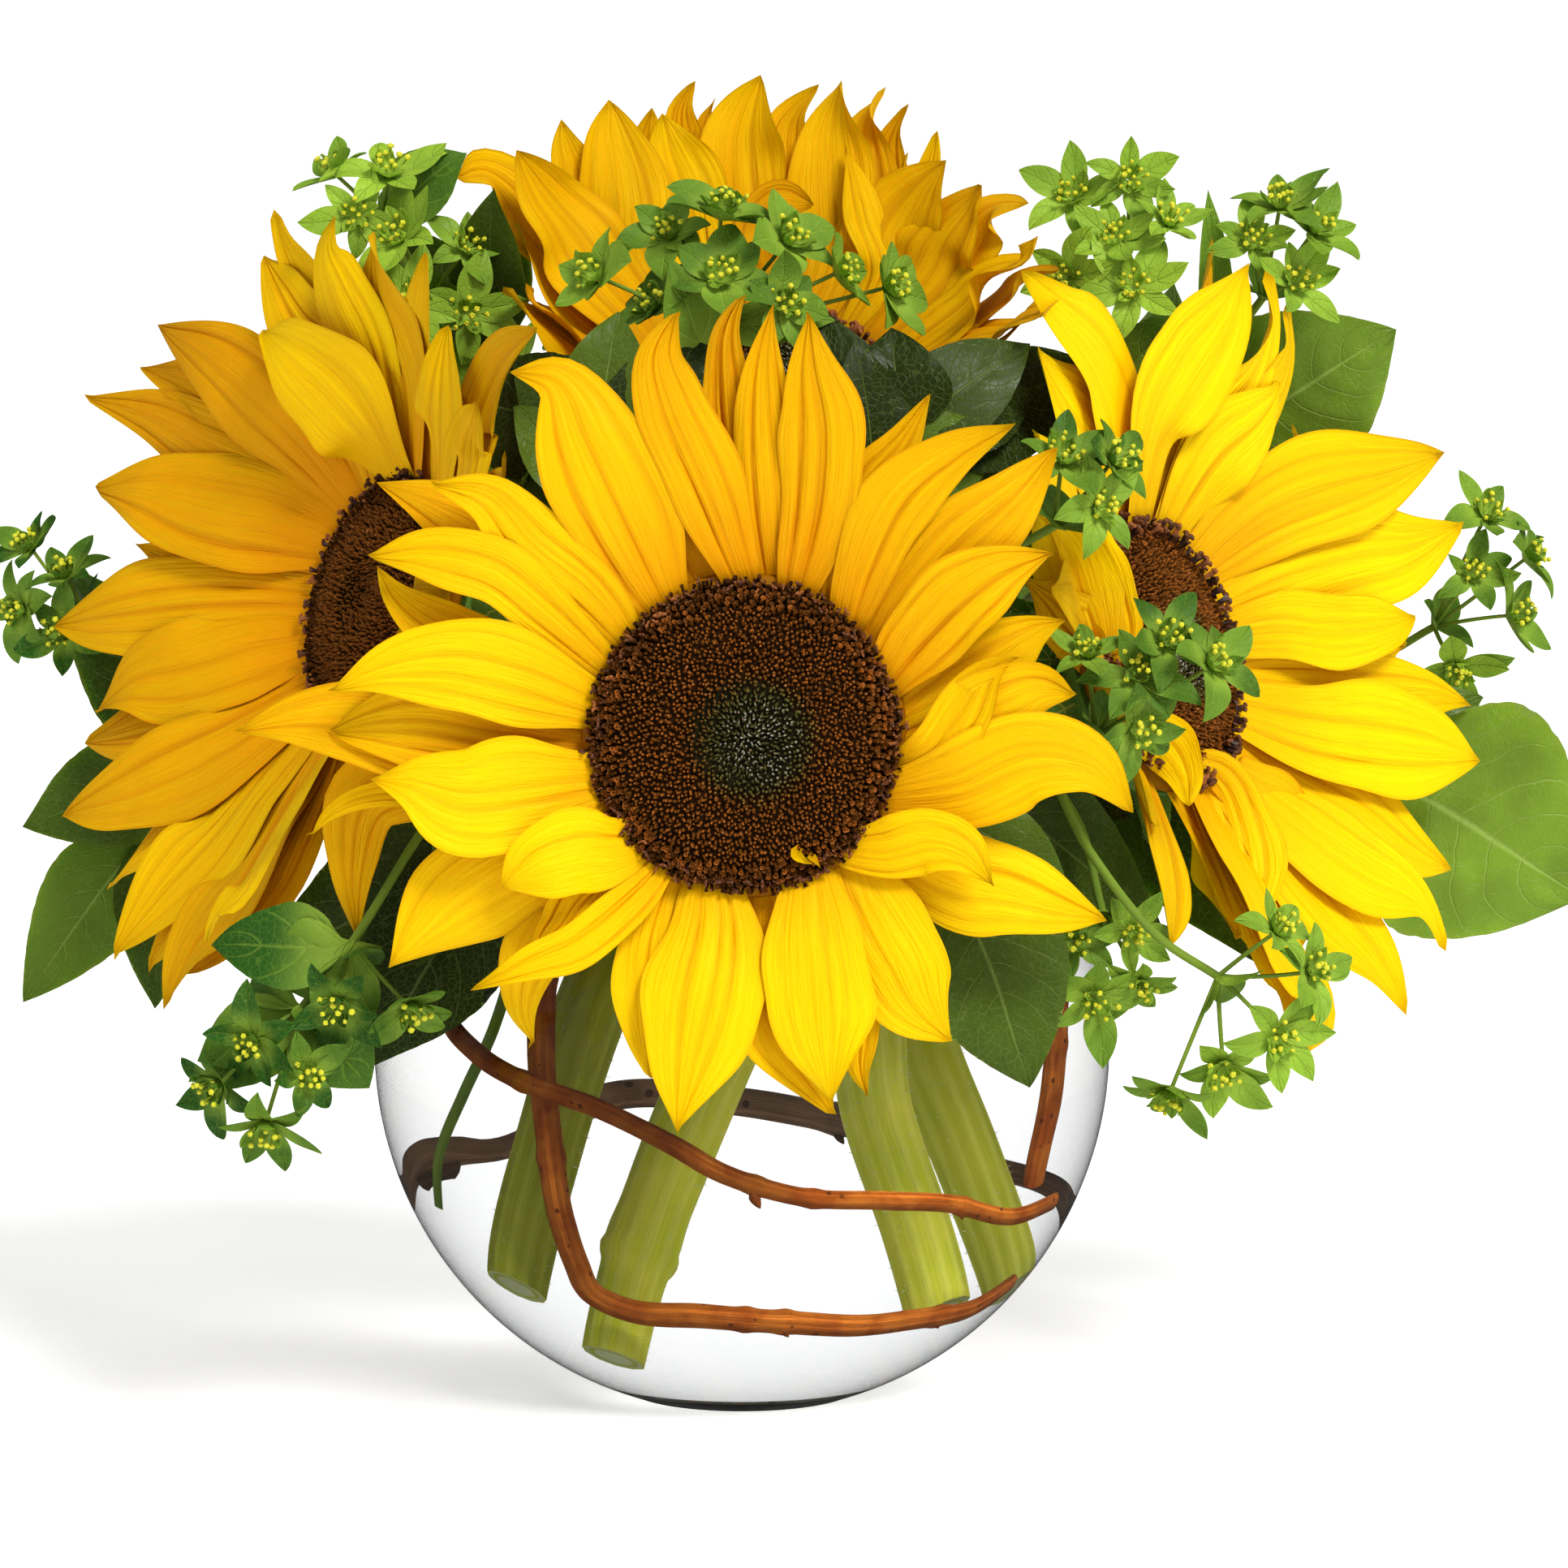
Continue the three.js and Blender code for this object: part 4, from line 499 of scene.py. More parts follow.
class Skin:
    """The points and faces of one piece while it is put together.

    A point is marked with how far along its petal, leaf or stem it lies, how far across, and the
    tone of that petal, leaf or floret. The underside mark is 1 on the back of a blade, and the groove
    mark is 1 at the bottom of its pleats."""

    def __init__(self):
        self.points, self.marks, self.under, self.groove = [], [], [], []
        self.faces, self.finishes = [], []
        self.total = 0
        self.turn, self.shift = np.eye(3), np.zeros(3)

    def stand_at(self, centre, right, facing):
        """What is added from now on is given in a frame of its own."""
        self.turn = np.array([right, np.cross(facing, right), facing])
        self.shift = np.array(centre, float)

    def stand_on(self, bloom):
        """What is added from now on is given in the bloom's own frame."""
        facing = unit(bloom["facing"])
        self.stand_at(bloom["centre"], unit(np.cross(bloom["up"], facing)), facing)

    def stand_free(self):
        """What is added from now on is given in the bowl's frame."""
        self.turn, self.shift = np.eye(3), np.zeros(3)

    def add(self, points, faces, along=0.0, across=0.0, tone=0.5, under=0.0, finish=0, groove=0.0):
        points = np.asarray(points, float).reshape(-1, 3)
        count = len(points)
        along, across, tone, under, groove = (
            np.broadcast_to(np.ravel(mark), (count,)) for mark in (along, across, tone, under, groove)
        )
        self.points.append(points @ self.turn + self.shift)
        self.marks.append(np.stack([along, across, tone], 1))
        self.under.append(under)
        self.groove.append(groove)
        for group in faces:
            group = np.asarray(group, int)
            if len(group):
                self.faces.extend((group + self.total).tolist())
                self.finishes.extend([finish] * len(group))
        self.total += count

    def piece(self, name, nodes, finishes, crease=50):
        """Makes the object, which rides on the part and stands for the nodes."""
        mesh = bpy.data.meshes.new(name)
        mesh.from_pydata(np.vstack(self.points) * MM, [], self.faces)
        for finish in finishes:
            mesh.materials.append(finish)
        mesh.polygons.foreach_set("material_index", self.finishes)
        marks = mesh.attributes.new("growth", "FLOAT_VECTOR", "POINT")
        marks.data.foreach_set("vector", np.vstack(self.marks).astype(np.float32).ravel())
        for title, values in (("underside", self.under), ("groove", self.groove)):
            mark = mesh.attributes.new(title, "FLOAT", "POINT")
            mark.data.foreach_set("value", np.concatenate(values).astype(np.float32))
        mesh.shade_smooth()
        mesh.set_sharp_from_angle(angle=math.radians(crease))
        mesh.validate()
        made = bpy.data.objects.new(name, mesh)
        bpy.context.scene.collection.objects.link(made)
        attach(made, "root")
        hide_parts(*nodes)
        return made


def smooth_path(points, steps):
    """Evenly spaced points on the smooth curve that the part's stems follow, and its length."""
    p = np.array(points, float)
    p = np.vstack([2 * p[0] - p[1], p, 2 * p[-1] - p[-2]])
    u = np.linspace(0, 1, 20, endpoint=False)[:, None]
    runs = []
    for a, b, c, d in zip(p, p[1:], p[2:], p[3:]):
        g, h, k = (math.sqrt(np.linalg.norm(y - x)) for x, y in ((a, b), (b, c), (c, d)))
        leave = ((b - a) / g - (c - a) / (g + h) + (c - b) / h) * h
        arrive = ((c - b) / h - (d - b) / (h + k) + (d - c) / k) * h
        runs.append(
            (2 * u**3 - 3 * u**2 + 1) * b
            + (u**3 - 2 * u**2 + u) * leave
            + (3 * u**2 - 2 * u**3) * c
            + (u**3 - u**2) * arrive
        )
    runs = np.vstack([*runs, p[-2]])
    gone = np.r_[0, np.cumsum(np.linalg.norm(np.diff(runs, axis=0), axis=1))]
    spots = np.linspace(0, gone[-1], steps + 1)
    return np.stack([np.interp(spots, gone, runs[:, k]) for k in range(3)], 1), gone[-1]


def headings(path):
    """At each point of a path, the way it runs and two ways square to it, turned as little as can be."""
    ahead = unit(np.gradient(path, axis=0))
    side = np.cross(ahead[0], [0.1, 1, 0.2] if abs(ahead[0][1]) < 0.9 else [1, 0.1, 0.2])
    sides = []
    for way in ahead:
        side = unit(side - way * (side @ way))
        sides.append(side)
    sides = np.array(sides)
    return ahead, sides, np.cross(ahead, sides)


def bend_points(start, bend, end, count):
    """Points on the simple curve from start to end that leans towards bend."""
    u = np.linspace(0, 1, count)[:, None]
    start, bend, end = (np.asarray(x, float) for x in (start, bend, end))
    return (1 - u) ** 2 * start + 2 * u * (1 - u) * bend + u**2 * end


def ring_faces(rings, sides):
    """Faces between rings of so many points each, one ring after another."""
    i, k = np.meshgrid(np.arange(rings - 1), np.arange(sides), indexing="ij")
    n = (k + 1) % sides
    low, high = i * sides, (i + 1) * sides
    return np.stack([low + k, low + n, high + n, high + k], -1).reshape(-1, 4)


def stalk(skin, path, radius, sides, tone=0.5, flutes=0, depth=0.0, finish=0, cut=None, round_end=False):
    """A round stem along a path. radius is one number or one for each point of the path, and flutes are
    ridges along it. A cut end gets its own finish, and a round end closes in a dome."""
    path = np.asarray(path, float)
    ahead, side, over = headings(path)
    count = len(path)
    radius = np.broadcast_to(np.asarray(radius, float), (count,)).copy()
    share = np.linspace(0, 1, count)
    if round_end:
        stop = radius[-1]
        ends = np.array([0.5, 0.87])
        extra = path[-1] + ahead[-1] * stop * ends[:, None]
        path = np.vstack([path, extra])
        radius = np.r_[radius, stop * np.sqrt(1 - ends**2)]
        side, over = (np.vstack([x, x[-1], x[-1]]) for x in (side, over))
        share = np.r_[share, 1, 1]
        count += 2
    turn = 2 * math.pi * np.arange(sides) / sides
    ridge = np.cos(flutes * turn) if flutes else np.zeros(sides)
    spread = radius[:, None] * (1 + depth * ridge[None])
    points = (
        path[:, None]
        + side[:, None] * (spread * np.cos(turn))[..., None]
        + over[:, None] * (spread * np.sin(turn))[..., None]
    )
    along = np.repeat(share, sides)
    across = np.tile(ridge, count)
    skin.add(points, [ring_faces(count, sides)], along, across, tone, finish=finish, groove=0.5 - across / 2)
    for end, last in ((0, False), (count - 1, True)):
        ring = points[end]
        middle = ring.mean(0) + (ahead[-1] * radius[-1] * 0.4 if last and round_end else 0)
        fan = [[k, (k + 1) % sides, sides] if last else [(k + 1) % sides, k, sides] for k in range(sides)]
        capped = cut is not None and not (last and round_end)
        where = np.r_[np.ones(sides), 0]
        skin.add(
            np.vstack([ring, middle]),
            [fan],
            where if capped else float(last),
            0.0,
            tone,
            finish=cut if capped else finish,
        )


def blade(
    skin, rib, face, half, lift, thick,
    across=13, twist=0.0, tone=0.5, finish=0, back=None, groove=None, frill=None,
):
    """A thin closed shell on a midrib: a petal, bract or leaf. half(s) is its half width and lift(s, t)
    the height over the midrib's plane, for s from root to tip and t from edge to edge. groove(s, t) marks
    the bottoms of its pleats, and frill(s, t) stretches its edges."""
    rib = np.asarray(rib, float)
    rows = len(rib) - 1
    s = np.linspace(0, 1, rows + 1)[:-1, None]
    t = np.linspace(-1, 1, across)[None]
    ahead = unit(np.gradient(rib, axis=0))[:-1]
    side = unit(np.cross(ahead, face))
    out = np.cross(side, ahead)
    turn = twist * s**2
    x = half(s) * t * (1 if frill is None else frill(s, t))
    z = lift(s, t) + 0 * x
    x, z = x * np.cos(turn) - z * np.sin(turn), x * np.sin(turn) + z * np.cos(turn)
    top = rib[:-1, None] + side[:, None] * x[..., None] + out[:, None] * z[..., None]
    down = side * np.sin(turn) - out * np.cos(turn)
    body = thick * (1 - t**4) * (1 - 0.5 * s)
    under = (top + down[:, None] * body[..., None])[:, 1:-1]
    tip = rib[-1] + out[-1] * float(lift(np.array([[1.0]]), np.array([[0.0]]))[0, 0])

    wide = rows * across
    upper = np.arange(wide).reshape(rows, across)
    lower = upper.copy()
    lower[:, 1:-1] = wide + np.arange(rows * (across - 2)).reshape(rows, across - 2)
    end = wide + rows * (across - 2)

    def quads(grid, flip):
        a, b, c, d = grid[:-1, :-1], grid[:-1, 1:], grid[1:, 1:], grid[1:, :-1]
        return np.stack([d, c, b, a] if flip else [a, b, c, d], -1).reshape(-1, 4)

    last = np.full(across - 1, end)
    point_up = np.stack([upper[-1, :-1], upper[-1, 1:], last], -1)
    point_down = np.stack([lower[-1, 1:], lower[-1, :-1], last], -1)
    root = np.stack([upper[0, 2:-1], upper[0, 1:-2], lower[0, 1:-2], lower[0, 2:-1]], -1)
    corners = [
        [upper[0, 1], upper[0, 0], lower[0, 1]],
        [upper[0, -1], upper[0, -2], lower[0, -2]],
    ]
    points = np.vstack([top.reshape(-1, 3), under.reshape(-1, 3), tip])
    along = np.r_[np.repeat(s, across), np.repeat(s, across - 2), 1]
    over = np.r_[np.tile(t[0], rows), np.tile(t[0, 1:-1], rows), 0]
    backs = np.r_[np.zeros(wide), np.ones(rows * (across - 2)), 0]
    deep = 0.0
    if groove is not None:
        depth = groove(s, t) + 0 * x
        deep = np.r_[depth.ravel(), depth[:, 1:-1].ravel(), 0]
    if back is None:
        groups = [quads(upper, False), quads(lower, True), point_up, point_down, root, corners]
        skin.add(points, groups, along, over, tone, backs, finish, deep)
        return
    start = skin.total
    skin.add(points, [quads(upper, False), point_up], along, over, tone, backs, finish, deep)
    for group in (quads(lower, True), point_down, root, np.array(corners)):
        skin.faces.extend((group + start).tolist())
        skin.finishes.extend([back] * len(group))


def turned(skin, profile, sides, tone=0.5, finish=0, along=None, across=0.0):
    """A turned body round its own Z: the profile is [radius, height] from the underside's middle, round
    the outside, to the top's middle. Its first and last points are on the axis, or meet."""
    profile = np.array(profile, float)
    open_ends = profile[0, 0] > 1e-6
    middle = profile if open_ends else profile[1:-1]
    turn = 2 * math.pi * np.arange(sides) / sides
    rings = np.stack(
        [middle[:, :1] * np.cos(turn), middle[:, :1] * np.sin(turn), np.repeat(middle[:, 1:], sides, 1)], -1
    )
    count = len(middle)
    faces = [ring_faces(count, sides)]
    points = rings.reshape(-1, 3)
    share = np.linspace(0, 1, len(profile)) if along is None else np.asarray(along, float)
    marks = np.repeat(share if open_ends else share[1:-1], sides)
    k = np.arange(sides)
    n = (k + 1) % sides
    if open_ends:
        last = (count - 1) * sides
        faces.append(np.stack([last + k, last + n, n, k], -1))
    else:
        low, high = count * sides, count * sides + 1
        top = (count - 1) * sides
        points = np.vstack([points, [0, 0, profile[0, 1]], [0, 0, profile[-1, 1]]])
        faces.append(np.stack([n, k, np.full(sides, low)], -1))
        faces.append(np.stack([top + k, top + n, np.full(sides, high)], -1))
        marks = np.r_[marks, share[0], share[-1]]
    skin.add(points, faces, marks, across, tone, finish=finish)


def bud_shape(profile, sides, tip=None, sink=None):
    """A small turned shape to set many times: rings of [radius, height], then a tip or a sunk middle."""
    turn = 2 * math.pi * np.arange(sides) / sides
    rings = [np.stack([r * np.cos(turn), r * np.sin(turn), np.full(sides, h)], -1) for r, h in profile]
    end = tip if tip is not None else sink
    points = np.vstack([*rings, [0, 0, end]])
    k = np.arange(sides)
    top = (len(profile) - 1) * sides
    close = np.stack([top + k, top + (k + 1) % sides, np.full(sides, len(points) - 1)], -1)
    close_low = np.stack([(k + 1) % sides, k, np.full(sides, len(points))], -1)
    points = np.vstack([points, [0, 0, profile[0][1]]])
    return points, [ring_faces(len(profile), sides), close, close_low]


def scatter(skin, shape, spots, axes, widths, heights, along, tones, rng, finish=0, across=None):
    """Sets a small shape on each spot, upright on its axis and turned at random."""
    form, faces = shape
    spots, axes = np.asarray(spots, float), unit(axes)
    count = len(spots)
    if not count:
        return
    loose = rng.normal(size=(count, 3))
    side = unit(loose - axes * (loose * axes).sum(1, keepdims=True))
    over = np.cross(axes, side)
    widths, heights = (np.broadcast_to(x, (count,))[:, None, None] for x in (widths, heights))
    points = (
        spots[:, None]
        + side[:, None] * form[None, :, :1] * widths
        + over[:, None] * form[None, :, 1:2] * widths
        + axes[:, None] * form[None, :, 2:] * heights
    )
    step = (np.arange(count) * len(form))[:, None, None]
    groups = [(np.asarray(group)[None] + step).reshape(-1, len(group[0])) for group in faces]
    along = np.repeat(np.broadcast_to(along, (count,)), len(form))
    tones = np.repeat(np.broadcast_to(tones, (count,)), len(form))
    rise = np.tile(form[:, 2] if across is None else across, count)
    skin.add(points, groups, along, rise, tones, finish=finish)


BRISTLE = bud_shape([(0.5, 0), (0.3, 0.5)], 3, tip=1)
HAIR_WIDTH = 0.16
HAIR_TONE = 0.9


def bristles(skin, path, radius, count, length, rng):
    """Short hairs all round a stem."""
    ahead, side, over = headings(path)
    radius = np.broadcast_to(radius, (len(path),))
    spot = rng.integers(0, len(path), count)
    turn = rng.uniform(0, 2 * math.pi, count)[:, None]
    out = side[spot] * np.cos(turn) + over[spot] * np.sin(turn)
    at = path[spot] + out * radius[spot][:, None] * 0.97
    nudge = rng.uniform(-0.5, 0.5, count)[:, None] * np.linalg.norm(path[1] - path[0])
    lean = unit(out + ahead[spot] * rng.normal(0.1, 0.35, (count, 1)))
    scatter(
        skin, BRISTLE, at + ahead[spot] * nudge, lean, HAIR_WIDTH, length * rng.uniform(0.5, 1.2, count),
        spot / len(path), HAIR_TONE, rng,
    )

# ---------------------------------------------------------------- finishes


def tint(red, green, blue):
    """A colour as a paint chart gives it, from 0 to 255, as the numbers that a shader works with."""
    scale = [x / 255 for x in (red, green, blue)]
    return tuple(x / 12.92 if x <= 0.04045 else ((x + 0.055) / 1.055) ** 2.4 for x in scale)


class Paint:
    """Short ways to set nodes in a material or a node group."""

    def __init__(self, tree):
        self.tree = tree

    def feed(self, socket, value):
        if isinstance(value, bpy.types.NodeSocket):
            self.tree.links.new(value, socket)
        elif hasattr(socket.default_value, "__len__") and len(socket.default_value) == 4:
            socket.default_value = (*value[:3], 1)
        else:
            socket.default_value = value

    def node(self, kind, values=(), **settings):
        made = self.tree.nodes.new(kind)
        for name, value in settings.items():
            setattr(made, name, value)
        for name, value in dict(values).items():
            self.feed(made.inputs[name], value)
        return made

    def sum(self, operation, a, b=0.0, c=0.0):
        return self.node("ShaderNodeMath", {0: a, 1: b, 2: c}, operation=operation).outputs[0]

    def product(self, first, *others):
        for other in others:
            first = self.sum("MULTIPLY", first, other)
        return first

    def blend(self, share, a, b, how="MIX"):
        made = self.node("ShaderNodeMix", {0: share, 6: a, 7: b}, data_type="RGBA", blend_type=how)
        return made.outputs[2]

    def between(self, value, low, high, start=0.0, end=1.0):
        """start below low and end above high, smooth between them."""
        values = {"Value": value, "From Min": low, "From Max": high, "To Min": start, "To Max": end}
        return self.node("ShaderNodeMapRange", values, interpolation_type="SMOOTHSTEP").outputs[0]

    def ramp(self, value, *stops):
        made = self.node("ShaderNodeValToRGB", {0: value})
        band = made.color_ramp
        band.interpolation = "EASE"
        while len(band.elements) < len(stops):
            band.elements.new(0.5)
        for element, (place, colour) in zip(band.elements, stops):
            element.position = place
            element.color = (*colour, 1)
        return made.outputs[0]

    def place(self):
        return self.node("ShaderNodeTexCoord").outputs["Object"]

    def joined(self, x, y, z):
        return self.node("ShaderNodeCombineXYZ", {0: x, 1: y, 2: z}).outputs[0]

    def noise(self, at, scale, detail=2.0, rough=0.5):
        values = {"Vector": at, "Scale": scale, "Detail": detail, "Roughness": rough}
        return self.node("ShaderNodeTexNoise", values).outputs[0]

    def use(self, group, values=()):
        made = self.node("ShaderNodeGroup", node_tree=group)
        for name, value in dict(values).items():
            self.feed(made.inputs[name], value)
        return made.outputs

    def bump(self, height, distance, strength=1.0):
        values = {"Height": height, "Distance": distance, "Strength": strength}
        return self.node("ShaderNodeBump", values).outputs[0]


def effect(name, inputs, outputs):
    """An empty node group with named inputs, given with their defaults, and named outputs."""
    group = bpy.data.node_groups.new(name, "ShaderNodeTree")
    for title, default in inputs.items():
        kind = "NodeSocketFloat" if isinstance(default, float) else "NodeSocketVector"
        socket = group.interface.new_socket(title, in_out="INPUT", socket_type=kind)
        if isinstance(default, float):
            socket.default_value = default
    for title in outputs:
        group.interface.new_socket(title, in_out="OUTPUT", socket_type="NodeSocketFloat")
    given = group.nodes.new("NodeGroupInput").outputs
    taken = group.nodes.new("NodeGroupOutput").inputs
    return group, Paint(group), given, taken


def growth_marks():
    """Reads the marks that every piece's points carry."""
    titles = ["Along", "Across", "Tone", "Underside", "Groove"]
    group, paint, _, taken = effect("Growth Marks", {}, titles)
    growth = paint.node("ShaderNodeAttribute", attribute_name="growth").outputs["Vector"]
    split = paint.node("ShaderNodeSeparateXYZ", {0: growth}).outputs
    for title, source in zip(titles, split):
        paint.feed(taken[title], source)
    for title in titles[3:]:
        mark = paint.node("ShaderNodeAttribute", attribute_name=title.lower()).outputs["Fac"]
        paint.feed(taken[title], mark)
    return group


def mottle():
    """Soft patches from 0 to 1, so many to the metre."""
    group, paint, given, taken = effect("Mottle", {"Scale": 100.0, "Low": 0.35, "High": 0.65}, ["Patches"])
    values = {"Vector": paint.place(), "Scale": given["Scale"], "Detail": 3.0, "Roughness": 0.55}
    cloud = paint.node("ShaderNodeTexNoise", values).outputs[0]
    paint.feed(taken["Patches"], paint.between(cloud, given["Low"], given["High"]))
    return group


def fibres():
    """Fine lines that run the length of a petal or stem."""
    group, paint, given, taken = effect(
        "Fibres", {"Along": 0.0, "Across": 0.0, "Tone": 0.0, "Count": 12.0}, ["Lines"]
    )
    at = paint.joined(
        paint.product(given["Across"], given["Count"]),
        paint.product(given["Along"], 2.2),
        paint.product(given["Tone"], 61.0),
    )
    cloud = paint.noise(at, 1.0, 3.0, 0.6)
    paint.feed(taken["Lines"], paint.between(cloud, 0.34, 0.66))
    return group


def leaf_veins():
    """A midrib and pairs of side veins that slant towards the tip, with finer ones between."""
    group, paint, given, taken = effect(
        "Leaf Veins",
        {"Along": 0.0, "Across": 0.0, "Pairs": 6.0, "Slant": 0.3, "Width": 0.07},
        ["Veins", "Net"],
    )
    out = paint.sum("ABSOLUTE", given["Across"])
    midrib = paint.between(out, 0.0, given["Width"], 1.0, 0.0)
    curve = paint.product(paint.sum("POWER", out, 1.4), given["Slant"])
    wander = paint.product(paint.noise(paint.place(), 120.0), 0.06)
    row = paint.sum("ADD", paint.sum("SUBTRACT", given["Along"], curve), wander)
    wave = paint.sum("PINGPONG", paint.product(row, given["Pairs"]), 0.5)
    side = paint.between(wave, 0.0, given["Width"], 0.75, 0.0)
    side = paint.product(side, paint.between(out, 0.75, 1.0, 1.0, 0.15))
    paint.feed(taken["Veins"], paint.sum("MAXIMUM", midrib, side))
    cells = paint.node(
        "ShaderNodeTexVoronoi", {"Vector": paint.place(), "Scale": 700.0}, feature="DISTANCE_TO_EDGE"
    ).outputs[0]
    paint.feed(taken["Net"], paint.between(cells, 0.0, 0.09, 1.0, 0.0))
    return group


def specks():
    """Small scattered dots."""
    group, paint, given, taken = effect("Specks", {"Scale": 400.0, "Size": 0.25, "Share": 0.4}, ["Dots"])
    values = {"Vector": paint.place(), "Scale": given["Scale"]}
    cells = paint.node("ShaderNodeTexVoronoi", values)
    near = paint.sum("LESS_THAN", cells.outputs["Distance"], given["Size"])
    chance = paint.node("ShaderNodeSeparateColor", {0: cells.outputs["Color"]}).outputs[0]
    paint.feed(taken["Dots"], paint.product(near, paint.sum("LESS_THAN", chance, given["Share"])))
    return group


EFFECTS = {"marks": growth_marks, "mottle": mottle, "fibres": fibres, "veins": leaf_veins, "specks": specks}
MADE = {}


def shared(name):
    """One of the shared effects, built the first time that a finish asks for it."""
    if name not in MADE:
        MADE[name] = EFFECTS[name]()
    return MADE[name]


def new_finish(name, **plain):
    """A material with its shader, and the paint to finish it with. plain sets the shader's own values."""
    finish = bpy.data.materials.new(name)
    finish.use_nodes = True
    shader = finish.node_tree.nodes["Principled BSDF"]
    paint = Paint(finish.node_tree)
    for title, value in plain.items():
        paint.feed(shader.inputs[title.replace("_", " ")], value)
    return finish, paint, shader.inputs


def darker(colour, share):
    return tuple(x * share for x in colour)


def petal_finish(name, face, root, settings):
    finish, paint, shader = new_finish(
        name, Subsurface_Weight=settings.glow, Subsurface_Radius=(1.0, 0.6, 0.1), Subsurface_Scale=0.0015,
        Specular_IOR_Level=0.06,
    )
    mark = paint.use(shared("marks"))
    patches = paint.use(shared("mottle"), {"Scale": 45.0})[0]
    lines = paint.use(
        shared("fibres"),
        {"Along": mark["Along"], "Across": mark["Across"], "Tone": mark["Tone"], "Count": 11.0},
    )[0]
    rich = (face[0] * 0.95, face[1] * 0.78, face[2])
    deep = (face[0] * 0.62, face[1] * 0.42, face[2])
    # Deeper tones take more of the orange and of the painted shade below.
    warmth_and_shade = paint.between(mark["Tone"], 0.0, 0.7, 0.5, 1.0)
    edge = paint.between(paint.sum("ABSOLUTE", mark["Across"]), 0.9, 1.0, 0.0, 0.5)
    # Deeper tones turn the petal towards ochre: partly its own colour, partly painted shade.
    colour = paint.blend(paint.product(mark["Tone"], 0.85), face, deep)
    colour = paint.blend(paint.product(patches, 0.3), colour, rich)
    streak = (rich[0] * 0.9, rich[1] * 0.6, 0.0)
    colour = paint.blend(paint.product(lines, warmth_and_shade, 0.36), colour, streak)
    # Painted shade in the bottoms of the pleats.
    colour = paint.blend(paint.product(mark["Groove"], warmth_and_shade), colour, darker(root, 0.7))
    # Painted shadow line along each petal's edges.
    colour = paint.blend(paint.product(edge, warmth_and_shade), colour, darker(root, 0.75))
    # Orange towards the root: partly the petal's own colour, partly painted shade near the disc.
    colour = paint.blend(paint.product(paint.between(mark["Along"], 0.05, 0.5, 0.7, 0.0), warmth_and_shade), colour, root)
    # Painted shade at the very foot of each petal, under the disc.
    colour = paint.blend(paint.between(mark["Along"], 0.0, 0.09, 0.85, 0.0), colour, darker(root, 0.3))
    colour = paint.blend(
        paint.product(paint.between(mark["Along"], 0.94, 1.0), 0.45), colour, darker(root, 0.7)
    )
    pale = (face[0] * 0.85, face[1] * 0.76, face[2] + 0.006)
    colour = paint.blend(paint.product(mark["Underside"], 0.6), colour, pale)
    paint.feed(shader["Base Color"], colour)
    paint.feed(shader["Roughness"], paint.between(lines, 0.0, 1.0, 0.52, 0.66))
    height = paint.sum("ADD", lines, paint.product(paint.noise(paint.place(), 1500.0), 0.25))
    paint.feed(shader["Normal"], paint.bump(height, 0.00022, 0.8))
    return finish


def floret_finish(settings):
    finish, paint, shader = new_finish("disc_florets", Specular_IOR_Level=0.12)
    mark = paint.use(shared("marks"))
    brown, red, heart = (tuple(c) for c in (settings.brown, settings.red_brown, settings.heart))
    low = paint.ramp(
        mark["Along"], (0.0, darker(heart, 0.8)), (0.3, heart), (0.45, brown), (0.8, brown),
        (0.93, darker(brown, 0.55)), (1.0, darker(brown, 0.3)),
    )
    silver = tuple(settings.silver)
    tips = paint.ramp(
        mark["Along"], (0.0, silver), (0.23, silver), (0.34, darker(heart, 2.2)), (0.5, red),
        (0.85, red), (1.0, darker(red, 0.5)),
    )
    share = paint.between(mark["Across"], 0.45, 1.0)
    share = paint.product(share, paint.between(mark["Tone"], 0.25, 0.95))
    colour = paint.blend(share, low, tips)
    # The florets are darker towards their feet, and the disc under them darker still: painted shade between
    # the florets.
    deep = paint.between(mark["Across"], -0.1, 0.55, 0.12, 1.0)
    shade = paint.node("ShaderNodeCombineColor", {0: deep, 1: deep, 2: deep}).outputs[0]
    colour = paint.blend(1.0, colour, shade, "MULTIPLY")
    dots = paint.use(shared("specks"), {"Scale": 900.0, "Size": 0.3, "Share": 0.12})[0]
    dots = paint.product(dots, paint.between(mark["Across"], 0.6, 0.9, 0.0, 0.7))
    colour = paint.blend(dots, colour, tint(190, 120, 70))
    paint.feed(shader["Base Color"], colour)
    paint.feed(shader["Roughness"], paint.between(mark["Across"], 0.3, 1.0, 0.9, 0.55))
    grain = paint.noise(paint.place(), 2500.0)
    paint.feed(shader["Normal"], paint.bump(grain, 0.0001, 0.6))
    return finish


def stigma_finish(settings):
    finish, paint, shader = new_finish("dark_stigmas")
    mark = paint.use(shared("marks"))
    dark, red = tuple(settings.stigma), tuple(settings.red_brown)
    colour = paint.blend(paint.between(mark["Tone"], 0.55, 1.0, 0.0, 0.8), dark, red)
    colour = paint.blend(paint.between(mark["Across"], 0.6, 1.0, 0.0, 0.35), colour, red)
    paint.feed(shader["Base Color"], colour)
    paint.feed(shader["Roughness"], paint.between(mark["Tone"], 0.0, 1.0, 0.45, 0.7))
    return finish


